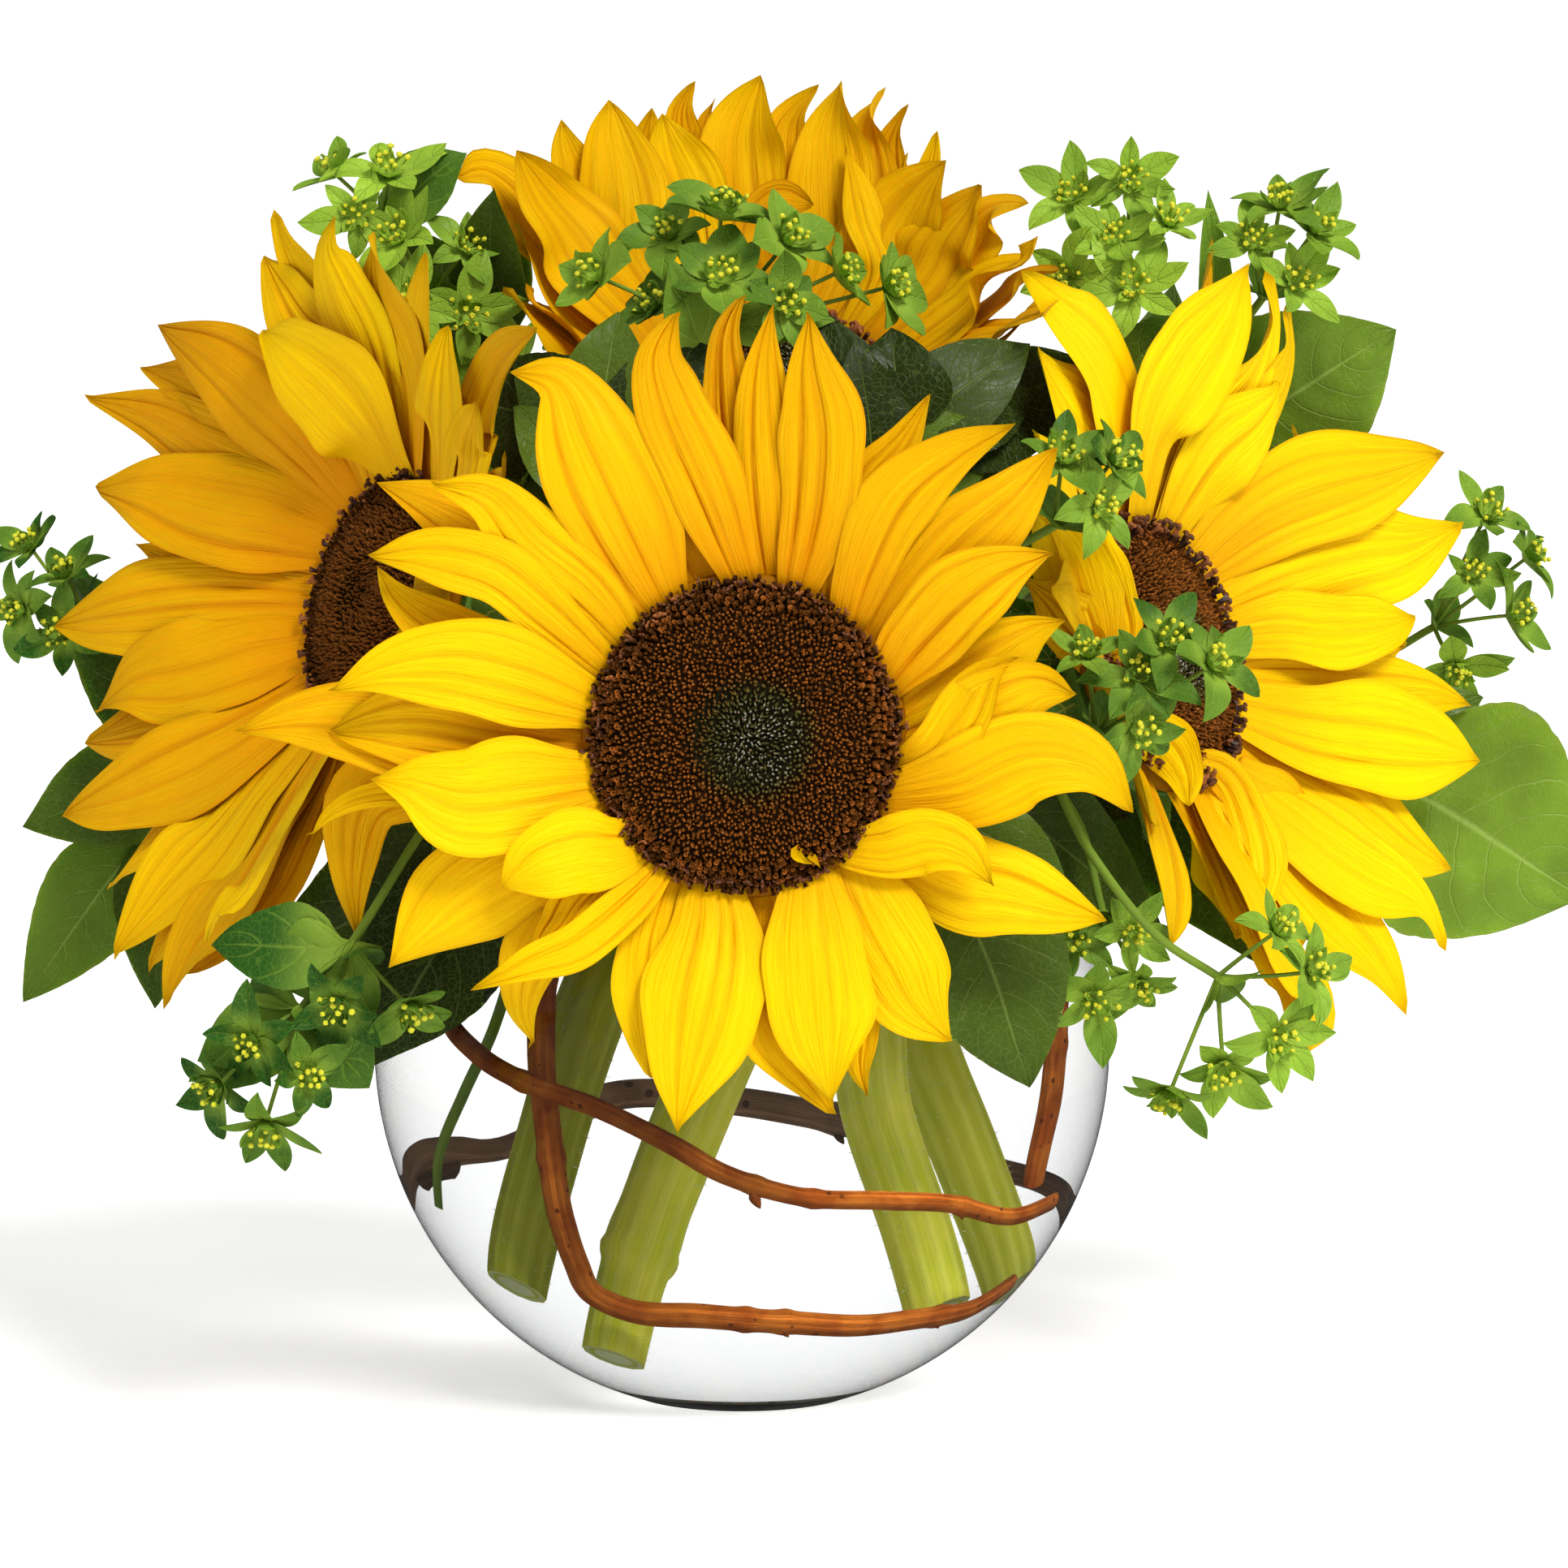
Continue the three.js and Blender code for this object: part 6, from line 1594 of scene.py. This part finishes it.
def sunflower_stem(name, settings, finishes):
    bloom, stem = BLOOMS[name], SUNFLOWER_STEMS[name]
    rng = np.random.default_rng(bloom["seed"] + 200)
    skin = Skin()
    skin.stand_on(bloom)
    rim, top = bloom["disc"] + 1.5, RING_BACK - 0.3
    low = top - CUP_DEPTH
    side = [[1, 0, low], [8, 0, low + 1], [rim * 0.72, 0, top - 7], [rim, 0, top - 2.4], [rim - 0.4, 0, top]]
    cup, _ = smooth_path(side, 20)
    profile = np.vstack([[[0, low]], cup[1:, [0, 2]], [[0, top]]])
    turned(skin, profile, 60, tone=0.3, finish=1, across=1.0)
    for index in range(settings.bracts):
        bract(skin, bloom, index, settings.bracts, settings, rng)
    skin.stand_free()
    facing = unit(bloom["facing"])
    back = np.array(bloom["centre"]) - 11 * facing
    path, length = smooth_path([*stem["points"], back], 120)
    share = np.linspace(0, 1, 121)
    radius = stem["radius"] * (1.05 - 0.1 * share + 0.03 * np.sin(share * 17 + bloom["seed"]))
    radius += 2.4 * np.exp(-(((share - 1) / 0.05) ** 2))
    for joint in {"right": (0.13,), "front": (0.52,), "left": (0.4,), "top": (0.35,)}[name]:
        radius += 0.9 * np.exp(-(((share - joint) * length / 1.6) ** 2))
        radius += 0.5 * np.exp(-(((share - joint - 0.02) * length / 4) ** 2))
    stalk(skin, path, radius, 48, tone=stem["tone"], flutes=11, depth=0.022, cut=2)
    bristles(skin, path, radius, 700, settings.hair / MM, rng)
    skin.piece(f"{name}_bloom_stem", [f"sunflower_{name}_stem"], finishes, crease=50)


# ---------------------------------------------------------------- willow


BUD = bud_shape([(0.28, 0), (0.5, 0.22), (0.46, 0.5), (0.24, 0.8)], 7, tip=1)


def willow_twig(name, finishes):
    twig = TWIGS[name]
    rng = np.random.default_rng(len(name) * 7)
    skin = Skin()
    steps = 14 * len(twig["points"])
    path, length = smooth_path(twig["points"], steps)
    share = np.linspace(0, 1, steps + 1)
    knots = np.interp(share, np.linspace(0, 1, 16), rng.uniform(-1, 1, 16))
    radius = twig["radius"] * (1.04 - 0.1 * share + 0.05 * knots)
    places = np.linspace(0, 1, 13)
    wobble = [np.interp(share, places, rng.uniform(-0.35, 0.35, 13)) for _ in range(3)]
    path = path + np.stack(wobble, 1)
    radius = radius * np.interp(share, *np.transpose(twig.get("thickness", [[0, 1], [1, 1]])))
    nodes = [place for place, _ in twig["buds"]] + [0.16, 0.34, 0.66]
    for place in nodes:
        radius = radius + twig["radius"] * 0.16 * np.exp(-(((share - place) * length / 1.5) ** 2))
    stalk(skin, path, radius, 18, tone=0.5, flutes=5, depth=0.02, cut=1)
    ahead = headings(path)[0]
    for place, size in twig["buds"]:
        spot = round(place * steps)
        out = unit([0.1, -0.4, -1] + ahead[spot] * ahead[spot][2])
        at = path[spot] + out * radius[spot] * 0.75
        tall = size * 2.1
        scatter(skin, BUD, [at], [unit(out * 0.8 + ahead[spot] * 0.7)], size * 1.25, tall, place, 0.9, rng)
    skin.piece(f"willow_{name}", [f"willow_twig_{name}"], finishes, crease=50)


# ---------------------------------------------------------------- bupleurum

YELLOW_FLORET = bud_shape([(0.12, -1.0), (0.14, 0.0), (0.5, 0.3), (0.52, 0.55), (0.3, 0.8)], 5, sink=0.62)


def ovate(width, peak=0.42, root=0.3):
    """The half width of a broad leaf-like bract with a short point."""

    def half(s):
        grow = root + (1 - root) * np.sin(np.minimum(s / peak, 1) * math.pi / 2)
        fade = 1 - np.clip((s - peak) / (1 - peak), 0, 1) ** 1.75
        return width / 2 * grow * fade

    return half


def star_head(skin, fork, centre, index, spray, fullness, rng):
    """A head on its stalk: pointed bracts in an uneven star, smaller ones inside and yellow florets."""
    centre, seed = np.array(centre, float), spray["seed"]
    rise = unit(centre - fork)
    axis = unit(rise + np.array(spray.get("towards", VIEWER)) * 0.8 + rng.normal(0, 0.34, 3))
    side = unit(np.cross([0.3, 0.2, 1], axis))
    size = STAR_SIZE * (0.85 + 0.3 * draw(index, seed)) * fullness
    turn = 72 * draw(index, seed + 1)
    sag = unit(np.cross(rise, side)) * rng.uniform(-1.2, 1.2)
    path = bend_points(fork, (fork + centre) / 2 + sag, centre + axis * 0.3, 9)
    stalk(skin, path, np.linspace(0.5, 0.42, 9), 6, tone=0.5, finish=1)
    skin.stand_at(centre, side, axis)
    tone = spray["tone"] + rng.uniform(-0.2, 0.2)
    for k in range(STAR_BRACTS):
        inner = k % 2
        angle = turn + 33 * k + rng.uniform(-15, 15)
        reach = size * (rng.uniform(0.4, 0.7) if inner else rng.uniform(0.85, 1.3))
        steep = rng.uniform(0.7, 1.25) if inner else rng.uniform(-0.1, 0.6)
        tip = ring_point(reach * math.cos(steep), angle + rng.uniform(-12, 12), reach * math.sin(steep))
        rib = bend_points(
            ring_point(0.3, angle, 0.2 * inner),
            ring_point(reach * 0.6, angle, reach * (0.24 + 0.2 * inner)),
            tip,
            13,
        )
        half = ovate(reach * rng.uniform(0.56, 0.7) * spray.get("breadth", 0.76))
        twist = rng.uniform(-0.5, 0.5)
        own_tone = np.clip(tone + 0.22 * (rng.random() - 0.5) + 0.15 * inner, 0, 1)
        blade(
            skin, rib, [0, 0, 1], half,
            lambda s, t: 0.22 * half(s) * np.abs(t) - 0.14 * np.exp(-((t / 0.15) ** 2)),
            GREEN_THICKNESS, across=9, twist=twist, tone=own_tone,
        )
    count = STAR_FLORETS
    angles = 137.5 * np.arange(count)
    out = size * 0.3 * np.sqrt((np.arange(count) + 0.3) / count) * rng.uniform(0.7, 1.3, count)
    tall = size * rng.uniform(0.2, 0.45, count)
    at = np.array([ring_point(r, a, h) for r, a, h in zip(out, angles, tall)])
    axes = at + [0, 0, size * 0.3]
    scatter(
        skin, YELLOW_FLORET, at, axes, rng.uniform(0.9, 1.5, count), 1.4, 0.5, rng.random(count), rng,
        finish=2, across=np.clip(YELLOW_FLORET[0][:, 2] + 0.2, 0, 1),
    )
    skin.stand_free()


def broad_leaf(skin, stem, leaf, fold, rng, finish, back, petiole=0.9):
    """A leaf on a curved midrib, sunk along its veins, waved at its edge and drooping at its tip."""
    start, end, out = np.array(stem[int(leaf[0])], float), np.array(leaf[1:4]), unit(leaf[4:7])
    width, sag, tone = (*leaf[7:], *(3, None)[len(leaf) - 8 :])
    steps, across = (38, 21) if width > 20 else (28, 15)
    rib = bend_points(start, (start + end) / 2 + out * sag, end, steps + 1)
    wide = width / 2
    s = np.linspace(0, 1, steps + 1)[:, None]
    side = unit(np.cross(end - start, out))
    rib = rib + side * rng.uniform(-1, 1) * 0.045 * width * np.sin(math.pi * s * 1.5)

    def half(s):
        grow = 0.12 + 0.88 * np.sin(np.minimum(s / 0.4, 1) * math.pi / 2)
        body = wide * grow * (1 - np.clip((s - 0.4) / 0.6, 0, 1) ** 1.7)
        stem = petiole * (1 - 0.2 * s)
        blend = np.clip((s - 0.05) / 0.1, 0, 1)
        notch = 1 - 0.012 * (np.floor(s * steps) % 2)
        return (stem * (1 - blend) + body * blend) * notch

    waves, phase, lean = rng.uniform(1.6, 2.6), rng.uniform(0, 1), rng.uniform(-0.06, 0.06)

    def groove(s, t):
        row = (s - 0.3 * np.abs(t) ** 1.4) * 6
        return np.abs(row - np.round(row)) * 2 * np.clip(s * 5, 0, 1) * (1 - np.abs(t) ** 4)

    def raised(s, t):
        edge = 0.045 * wide * np.sin(2 * math.pi * (waves * s + phase + 0.3 * np.sign(t))) * np.abs(t) ** 3
        vein = -0.3 * np.exp(-((t / 0.08) ** 2)) * (1 - s)
        puff = 0.022 * wide * groove(s, t)
        body = np.clip((s - 0.05) / 0.15, 0, 1)
        return (fold * half(s) * np.abs(t) + edge + puff + lean * half(s) * t) * body + vein - 1.4 * s**4

    twist, any_tone = rng.uniform(-0.2, 0.2), 0.1 + 0.3 * rng.random()
    blade(
        skin, rib, out, half, raised, LEAF_THICKNESS, across=across, twist=twist,
        tone=any_tone if tone is None else tone, finish=finish, back=back,
    )


def bupleurum_spray(name, settings, finishes):
    spray = SPRAYS[name]
    rng = np.random.default_rng(spray["seed"])
    skin = Skin()
    path, _ = smooth_path(spray["stem"], 10 * len(spray["stem"]))
    radius = SPRAY_STEM_RADIUS * np.linspace(1.0, 0.72, len(path))
    stalk(skin, path, radius, 9, tone=0.5, flutes=3, depth=0.03, finish=1, round_end=True)
    for which, (place, umbel) in enumerate(itertools.groupby(spray["heads"], lambda head: head[0])):
        fork = np.array(spray["stem"][int(place)])
        heads = [head[1:] for head in umbel]
        way = unit(np.mean(heads, axis=0) - fork)
        side = unit(np.cross(way, spray.get("towards", VIEWER)))
        over = np.cross(side, way)
        for k in range(3):
            turn = math.radians(120 * k + rng.uniform(-20, 20))
            out = unit(side * math.cos(turn) + over * math.sin(turn) + way * 0.5)
            reach = rng.uniform(8, 12)
            rib = bend_points(fork, fork + out * reach * 0.5 + way * 1.5, fork + out * reach, 13)
            half = ovate(rng.uniform(6.5, 8.5))
            blade(
                skin, rib, way, half, lambda s, t: 0.2 * half(s) * np.abs(t), GREEN_THICKNESS, across=9,
                tone=spray["tone"] * 0.6,
            )
        for index, head in enumerate(heads):
            star_head(skin, fork, head, index + 9 * which, spray, settings.spray_size, rng)
    for leaf in spray.get("leaves", []):
        broad_leaf(skin, spray["stem"], leaf, 0.15, rng, 0, 0, petiole=0.6)
    skin.piece(f"spray_{name}", [f"bupleurum_{name}"], finishes, crease=60)


def leafy_stem(name, finishes):
    stem = LEAFY_STEMS[name]
    rng = np.random.default_rng(500 + sum(map(ord, name)))
    skin = Skin()
    path, _ = smooth_path(stem["stem"], 10 * len(stem["stem"]))
    radius = LEAF_STEM_RADIUS * np.linspace(1.0, 0.7, len(path))
    stalk(skin, path, radius, 10, tone=0.5, flutes=3, depth=0.03, finish=2, round_end=True)
    for leaf in stem["leaves"]:
        broad_leaf(skin, stem["stem"], leaf, 0.12, rng, 0, 1)
    skin.piece(f"leaves_{name}", [f"leafy_stem_{name}"], finishes, crease=60)

# ---------------------------------------------------------------- what a user may change


def colour(name, description, default):
    return FloatVectorProperty(
        name=name, description=description, default=default, subtype="COLOR", size=3, min=0, max=1
    )


def amount(name, description, default, **limits):
    return FloatProperty(name=name, description=description, default=default, **limits)


def small_length(name, description, default):
    """A length, given in millimetres."""
    return amount(name, description, default * MM, min=0, unit="LENGTH", precision=5)


class BowlSettings(bpy.types.PropertyGroup):
    glass: colour("Glass", "Tint of the glass", (0.996, 1.0, 0.998))
    water: colour("Water", "Tint of the water", (0.996, 0.999, 1.0))


class BloomSettings(bpy.types.PropertyGroup):
    front: colour("Front petals", "Petals of the bloom in front", tint(255, 208, 0))
    # The left bloom's petals are darker than the others: partly their own colour and partly painted shade,
    # for that bloom lies in shadow.
    left: colour("Left petals", "Petals of the bloom on the left", tint(238, 194, 0))
    right: colour("Right petals", "Petals of the bloom on the right", tint(255, 214, 0))
    top: colour("Top petals", "Petals of the bloom at the top", tint(248, 200, 0))
    # Besides the petals' own orange at their roots, this colour paints shade: in their pleats, along their
    # edges and at their feet under the disc.
    root: colour("Petal roots", "Where the petals meet the disc and in their pleats", tint(222, 138, 0))
    glow: amount("Glow", "Light that spreads inside a petal", 0.15, min=0, max=1)
    thickness: small_length("Petal thickness", "Thickness along the midrib", 0.45)
    fullness: amount("Fullness", "How broad the petals are", 1.0, min=0.5, max=2)
    pleat: small_length("Pleats", "Depth of a petal's pleats", 1.0)
    curl: small_length("Curl", "How far the tips curl away", 3.0)
    florets: IntProperty(
        name="Florets", description="Florets in the disc of the bloom in front", default=3600, min=100
    )
    brown: colour("Florets", "Florets in the middle of the disc", tint(102, 57, 8))
    red_brown: colour("Floret tips", "Tips of the florets", tint(160, 90, 28))
    heart: colour("Heart", "Closed florets at the heart of the disc", tint(72, 68, 28))
    silver: colour("Heart tips", "Tips of the closed florets", tint(172, 164, 150))
    stigma: colour("Stigmas", "Stigmas at the rim", tint(38, 12, 14))


class GreenSettings(bpy.types.PropertyGroup):
    stem: colour("Stem", "Skin of the sunflower stems", tint(198, 207, 40))
    stem_pale: colour("Stem ridges", "Ridges of the sunflower stems", tint(228, 232, 112))
    bract: colour("Bracts", "Green bracts behind the blooms", tint(84, 124, 44))
    bracts: IntProperty(name="Bracts", description="Bracts behind each bloom", default=33, min=9, max=60)
    hair: small_length("Hairs", "Length of the hairs on the stems", 1.1)
    spray: colour("Bupleurum", "Bracts of the bupleurum", tint(40, 84, 22))
    spray_size: amount("Head size", "Size of the bupleurum heads", 1.45, min=0.5, max=2)
    spray_light: colour("Young bupleurum", "The lightest bracts", tint(166, 204, 60))
    spray_vein: colour("Bupleurum veins", "Veins and roots of the bracts", tint(170, 204, 72))
    spray_stem: colour("Bupleurum stalks", "Stalks of the bupleurum", tint(116, 146, 52))
    floret: colour("Bupleurum florets", "Small yellow florets", tint(216, 214, 40))
    leaf: colour("Leaf", "Upper side of the broad leaves", tint(38, 50, 12))
    leaf_light: colour("Young leaf", "Upper side of the lightest leaves", tint(132, 168, 46))
    leaf_back: colour("Leaf underside", "Underside of the broad leaves", tint(98, 126, 42))
    leaf_vein: colour("Leaf veins", "Veins of the broad leaves", tint(156, 182, 88))


class WillowSettings(bpy.types.PropertyGroup):
    bark: colour("Bark", "Red willow bark", tint(172, 82, 14))
    bark_light: colour("Bark patches", "Lighter patches of the red bark", tint(216, 122, 36))
    grey_bark: colour("Old bark", "Grey-brown bark of the twig at the back", tint(120, 88, 64))
    bark_pale: colour("Old bark patches", "Lighter patches of the grey-brown bark", tint(172, 132, 98))


class StageSettings(bpy.types.PropertyGroup):
    floor: colour("Floor", "The pale floor", (0.9, 0.9, 0.9))
    sky: amount("Surround", "Light from the white surround", 0.5, min=0)
    shine: amount("Surround shine", "What the surround shows in reflections", 0.08, min=0)
    key: amount("Key light", "Strength of the large soft light", 2.6, min=0)
    fill: amount("Side lights", "Power of the two lights at the sides", 1.2, min=0, unit="POWER")
    distance: amount(
        "Camera distance", "From the camera to the middle of the view", VIEW_DISTANCE * MM, min=0.3,
        unit="LENGTH",
    )
    height: amount("Camera angle", "How far the camera looks down", VIEW_DOWN, subtype="ANGLE")
    width: amount(
        "View width", "Width that the picture shows at the flowers", VIEW_WIDTH * MM, min=0.05, unit="LENGTH"
    )


SETTINGS = {
    "bowl_settings": BowlSettings,
    "bloom_settings": BloomSettings,
    "green_settings": GreenSettings,
    "willow_settings": WillowSettings,
    "stage_settings": StageSettings,
}


# ---------------------------------------------------------------- the steps


class SUNFLOWERS_OT_bowl(bpy.types.Operator):
    """Turn the glass bowl, with its rounded lip and flat underside"""

    bl_idname = "sunflowers.bowl"
    bl_label = "Glass Bowl"

    def execute(self, context):
        glass_bowl(context.scene.bowl_settings)
        return {"FINISHED"}


class SUNFLOWERS_OT_water(bpy.types.Operator):
    """Fill the bowl with water"""

    bl_idname = "sunflowers.water"
    bl_label = "Water"

    def execute(self, context):
        bowl_water(context.scene.bowl_settings)
        return {"FINISHED"}


class SUNFLOWERS_OT_petals(bpy.types.Operator):
    """Set the ray petals of the four blooms"""

    bl_idname = "sunflowers.petals"
    bl_label = "Petals"

    def execute(self, context):
        for name in BLOOMS:
            petals(name, context.scene.bloom_settings)
        return {"FINISHED"}


class SUNFLOWERS_OT_discs(bpy.types.Operator):
    """Fill the discs with florets, and set the dark stigmas round them"""

    bl_idname = "sunflowers.discs"
    bl_label = "Discs"

    def execute(self, context):
        settings = context.scene.bloom_settings
        finishes = [floret_finish(settings), stigma_finish(settings)]
        for name in BLOOMS:
            disc(name, settings, finishes)
        return {"FINISHED"}


class SUNFLOWERS_OT_stems(bpy.types.Operator):
    """Grow the sunflower stems, with the cups and bracts behind the blooms"""

    bl_idname = "sunflowers.stems"
    bl_label = "Sunflower Stems"

    def execute(self, context):
        settings = context.scene.green_settings
        stem, pale = tuple(settings.stem), tuple(settings.stem_pale)
        finishes = [
            stalk_finish("stem_skin", stem, pale),
            leaf_finish(
                "bloom_bracts", tuple(settings.bract), darker(settings.bract, 1.6), pale, pairs=3.0,
                slant=0.2, gloss=0.5, width=0.09,
            ),
            cut_finish("stem_cut", stem, tint(206, 214, 160)),
        ]
        for name in BLOOMS:
            sunflower_stem(name, settings, finishes)
        return {"FINISHED"}


class SUNFLOWERS_OT_willow(bpy.types.Operator):
    """Lay the willow twigs round the inside of the bowl"""

    bl_idname = "sunflowers.willow"
    bl_label = "Willow Twigs"

    def execute(self, context):
        settings = context.scene.willow_settings
        wood = tint(214, 190, 140)
        red = [
            bark_finish("red_bark", tuple(settings.bark), tuple(settings.bark_light)),
            cut_finish("red_bark_cut", tuple(settings.bark), wood),
        ]
        grey = [
            bark_finish("grey_bark", tuple(settings.grey_bark), tuple(settings.bark_pale)),
            cut_finish("grey_bark_cut", tuple(settings.grey_bark), wood),
        ]
        for name in TWIGS:
            willow_twig(name, grey if name == "back" else red)
        return {"FINISHED"}


class SUNFLOWERS_OT_bupleurum(bpy.types.Operator):
    """Grow the bupleurum sprays, with their star bracts and yellow florets"""

    bl_idname = "sunflowers.bupleurum"
    bl_label = "Bupleurum"

    def execute(self, context):
        settings = context.scene.green_settings
        stalks = tuple(settings.spray_stem)
        finishes = [
            leaf_finish(
                "bupleurum_bracts", tuple(settings.spray), tuple(settings.spray_light),
                tuple(settings.spray_vein), pairs=3.0, slant=0.35, gloss=0.45, width=0.08, heart=0.7,
            ),
            stalk_finish("bupleurum_stalks", stalks, darker(stalks, 1.4)),
            yellow_floret_finish(tuple(settings.floret)),
        ]
        for name in SPRAYS:
            bupleurum_spray(name, settings, finishes)
        return {"FINISHED"}


class SUNFLOWERS_OT_leaves(bpy.types.Operator):
    """Grow the stems of broad glossy leaves"""

    bl_idname = "sunflowers.leaves"
    bl_label = "Broad Leaves"

    def execute(self, context):
        settings = context.scene.green_settings
        veins = tuple(settings.leaf_vein)
        finishes = [
            leaf_finish(
                "leaf_face", tuple(settings.leaf), tuple(settings.leaf_light), veins, pairs=7.0, slant=0.3,
                gloss=0.3, width=0.045, coat=0.03,
            ),
            leaf_finish(
                "leaf_underside", tuple(settings.leaf_back), darker(settings.leaf_back, 1.4), veins,
                pairs=7.0, slant=0.3, gloss=0.5, width=0.05, under=True,
            ),
            stalk_finish("leaf_stalks", tint(96, 104, 52), tint(140, 150, 84)),
        ]
        for name in LEAFY_STEMS:
            leafy_stem(name, finishes)
        return {"FINISHED"}


TARGET = Vector(VIEW_MIDDLE * MM)
SENSOR_WIDTH = 36


def soft_light(name, place, size, power, colour=(1, 1, 1)):
    """A square light that faces the flowers."""
    lamp = bpy.data.lights.new(name, "AREA")
    lamp.size = size
    lamp.energy = power
    lamp.color = colour
    made = bpy.data.objects.new(name, lamp)
    made.location = place
    made.rotation_euler = (TARGET - Vector(place)).to_track_quat("-Z", "Y").to_euler()
    made.visible_camera = False
    made.visible_glossy = False
    made.visible_transmission = False
    bpy.context.scene.collection.objects.link(made)


def mirrored(paint):
    """1 for light that has been mirrored on its way, as by the walls of the glass."""
    return paint.sum("GREATER_THAN", paint.node("ShaderNodeLightPath").outputs["Glossy Depth"], 0.5)


def white_surround(settings):
    """White all round. What it gives to matt surfaces and to reflections is less than what is seen, so that
    the flowers keep their shade, the glass its edges and the stems in it their colour."""
    world = bpy.data.worlds.new("white_surround")
    world.use_nodes = True
    paint = Paint(world.node_tree)
    background = world.node_tree.nodes["Background"].inputs
    ray = paint.node("ShaderNodeLightPath").outputs
    seen = paint.sum("MAXIMUM", ray["Is Camera Ray"], paint.product(ray["Is Transmission Ray"], 1.15))
    seen = paint.product(seen, paint.sum("SUBTRACT", 1.0, mirrored(paint)))
    matt = paint.product(ray["Is Diffuse Ray"], settings.sky)
    shine = paint.product(ray["Is Glossy Ray"], settings.shine)
    level = paint.sum("MAXIMUM", paint.sum("MAXIMUM", matt, shine), paint.product(seen, 1.12))
    background["Color"].default_value = (1, 1, 1, 1)
    paint.feed(background["Strength"], level)
    return world


class SUNFLOWERS_OT_stage(bpy.types.Operator):
    """Set the pale floor, the soft lights and the camera"""

    bl_idname = "sunflowers.stage"
    bl_label = "Stage"

    def execute(self, context):
        settings, scene = context.scene.stage_settings, context.scene
        ground = bpy.data.meshes.new("floor")
        turn = 2 * math.pi * np.arange(96) / 96
        rim = np.stack([6 * np.cos(turn), 6 * np.sin(turn), np.zeros(96)], 1)
        ground.from_pydata(rim, [], [list(range(96))])
        finish, paint, shader = new_finish("pale_floor", Specular_IOR_Level=0.2)
        pale = tuple(settings.floor)
        soft = paint.use(shared("mottle"), {"Scale": 6.0})[0]
        # The floor glows a little with a light of its own: painted light that lightens the shadows on it.
        # Seen in reflections it is painted nearly black, a painted dark reflection that keeps the glass's
        # edges dark.
        dark_in_reflections, grey = mirrored(paint), (0.04, 0.04, 0.04)
        paint.feed(shader["Base Color"], paint.blend(dark_in_reflections, paint.blend(soft, pale, darker(pale, 0.985)), grey))
        paint.feed(shader["Emission Color"], paint.blend(dark_in_reflections, (1, 1, 1), grey))
        paint.feed(shader["Roughness"], paint.between(soft, 0.0, 1.0, 0.7, 0.8))
        shader["Emission Strength"].default_value = 0.45
        ground.materials.append(finish)
        floor = bpy.data.objects.new("floor", ground)
        scene.collection.objects.link(floor)

        scene.world = white_surround(settings)
        sun = bpy.data.lights.new("key_light", "SUN")
        sun.energy = settings.key
        sun.angle = math.radians(20)
        sun.color = (1, 0.985, 0.95)
        key = bpy.data.objects.new("key_light", sun)
        key.rotation_euler = Vector((-0.45, 0.75, -0.85)).to_track_quat("-Z", "Y").to_euler()
        scene.collection.objects.link(key)
        soft_light("left_light", (-1.3, -0.5, 0.55), 0.6, settings.fill)
        soft_light("right_light", (1.3, -0.3, 0.6), 0.6, settings.fill)

        scene.view_settings.view_transform = "Standard"
        scene.view_settings.look = "None"
        eye = bpy.data.cameras.new("camera")
        eye.sensor_width = SENSOR_WIDTH
        eye.lens = SENSOR_WIDTH * settings.distance / settings.width
        eye.clip_start = 0.02
        camera = bpy.data.objects.new("camera", eye)
        down = settings.height
        way = Vector((0, math.cos(down), -math.sin(down)))
        camera.location = TARGET - way * settings.distance
        camera.rotation_euler = (math.pi / 2 - down, 0, 0)
        scene.collection.objects.link(camera)
        scene.camera = camera
        return {"FINISHED"}


STEPS = (
    SUNFLOWERS_OT_bowl, SUNFLOWERS_OT_water, SUNFLOWERS_OT_petals, SUNFLOWERS_OT_discs, SUNFLOWERS_OT_stems,
    SUNFLOWERS_OT_willow, SUNFLOWERS_OT_bupleurum, SUNFLOWERS_OT_leaves, SUNFLOWERS_OT_stage,
)


class SUNFLOWERS_PT_panel(bpy.types.Panel):
    """The steps, in order, and what each may change"""

    bl_idname = "SUNFLOWERS_PT_panel"
    bl_label = "Sunflowers in a Glass Bowl"
    bl_space_type = "VIEW_3D"
    bl_region_type = "UI"
    bl_category = "Sunflowers"

    def draw(self, context):
        for step in STEPS:
            self.layout.operator(step.bl_idname)
        for name in SETTINGS:
            settings = getattr(context.scene, name)
            box = self.layout.box()
            for prop in settings.bl_rna.properties:
                if prop.identifier not in ("rna_type", "name"):
                    box.prop(settings, prop.identifier)


def register():
    for part in (*SETTINGS.values(), *STEPS, SUNFLOWERS_PT_panel):
        bpy.utils.register_class(part)
    for name, group in SETTINGS.items():
        setattr(bpy.types.Scene, name, PointerProperty(type=group))


def unregister():
    for name in SETTINGS:
        delattr(bpy.types.Scene, name)
    for part in (SUNFLOWERS_PT_panel, *reversed(STEPS), *SETTINGS.values()):
        bpy.utils.unregister_class(part)


def main():
    register()
    for step in STEPS:
        group, action = step.bl_idname.split(".")
        getattr(getattr(bpy.ops, group), action)()


if __name__ == "__main__":
    main()
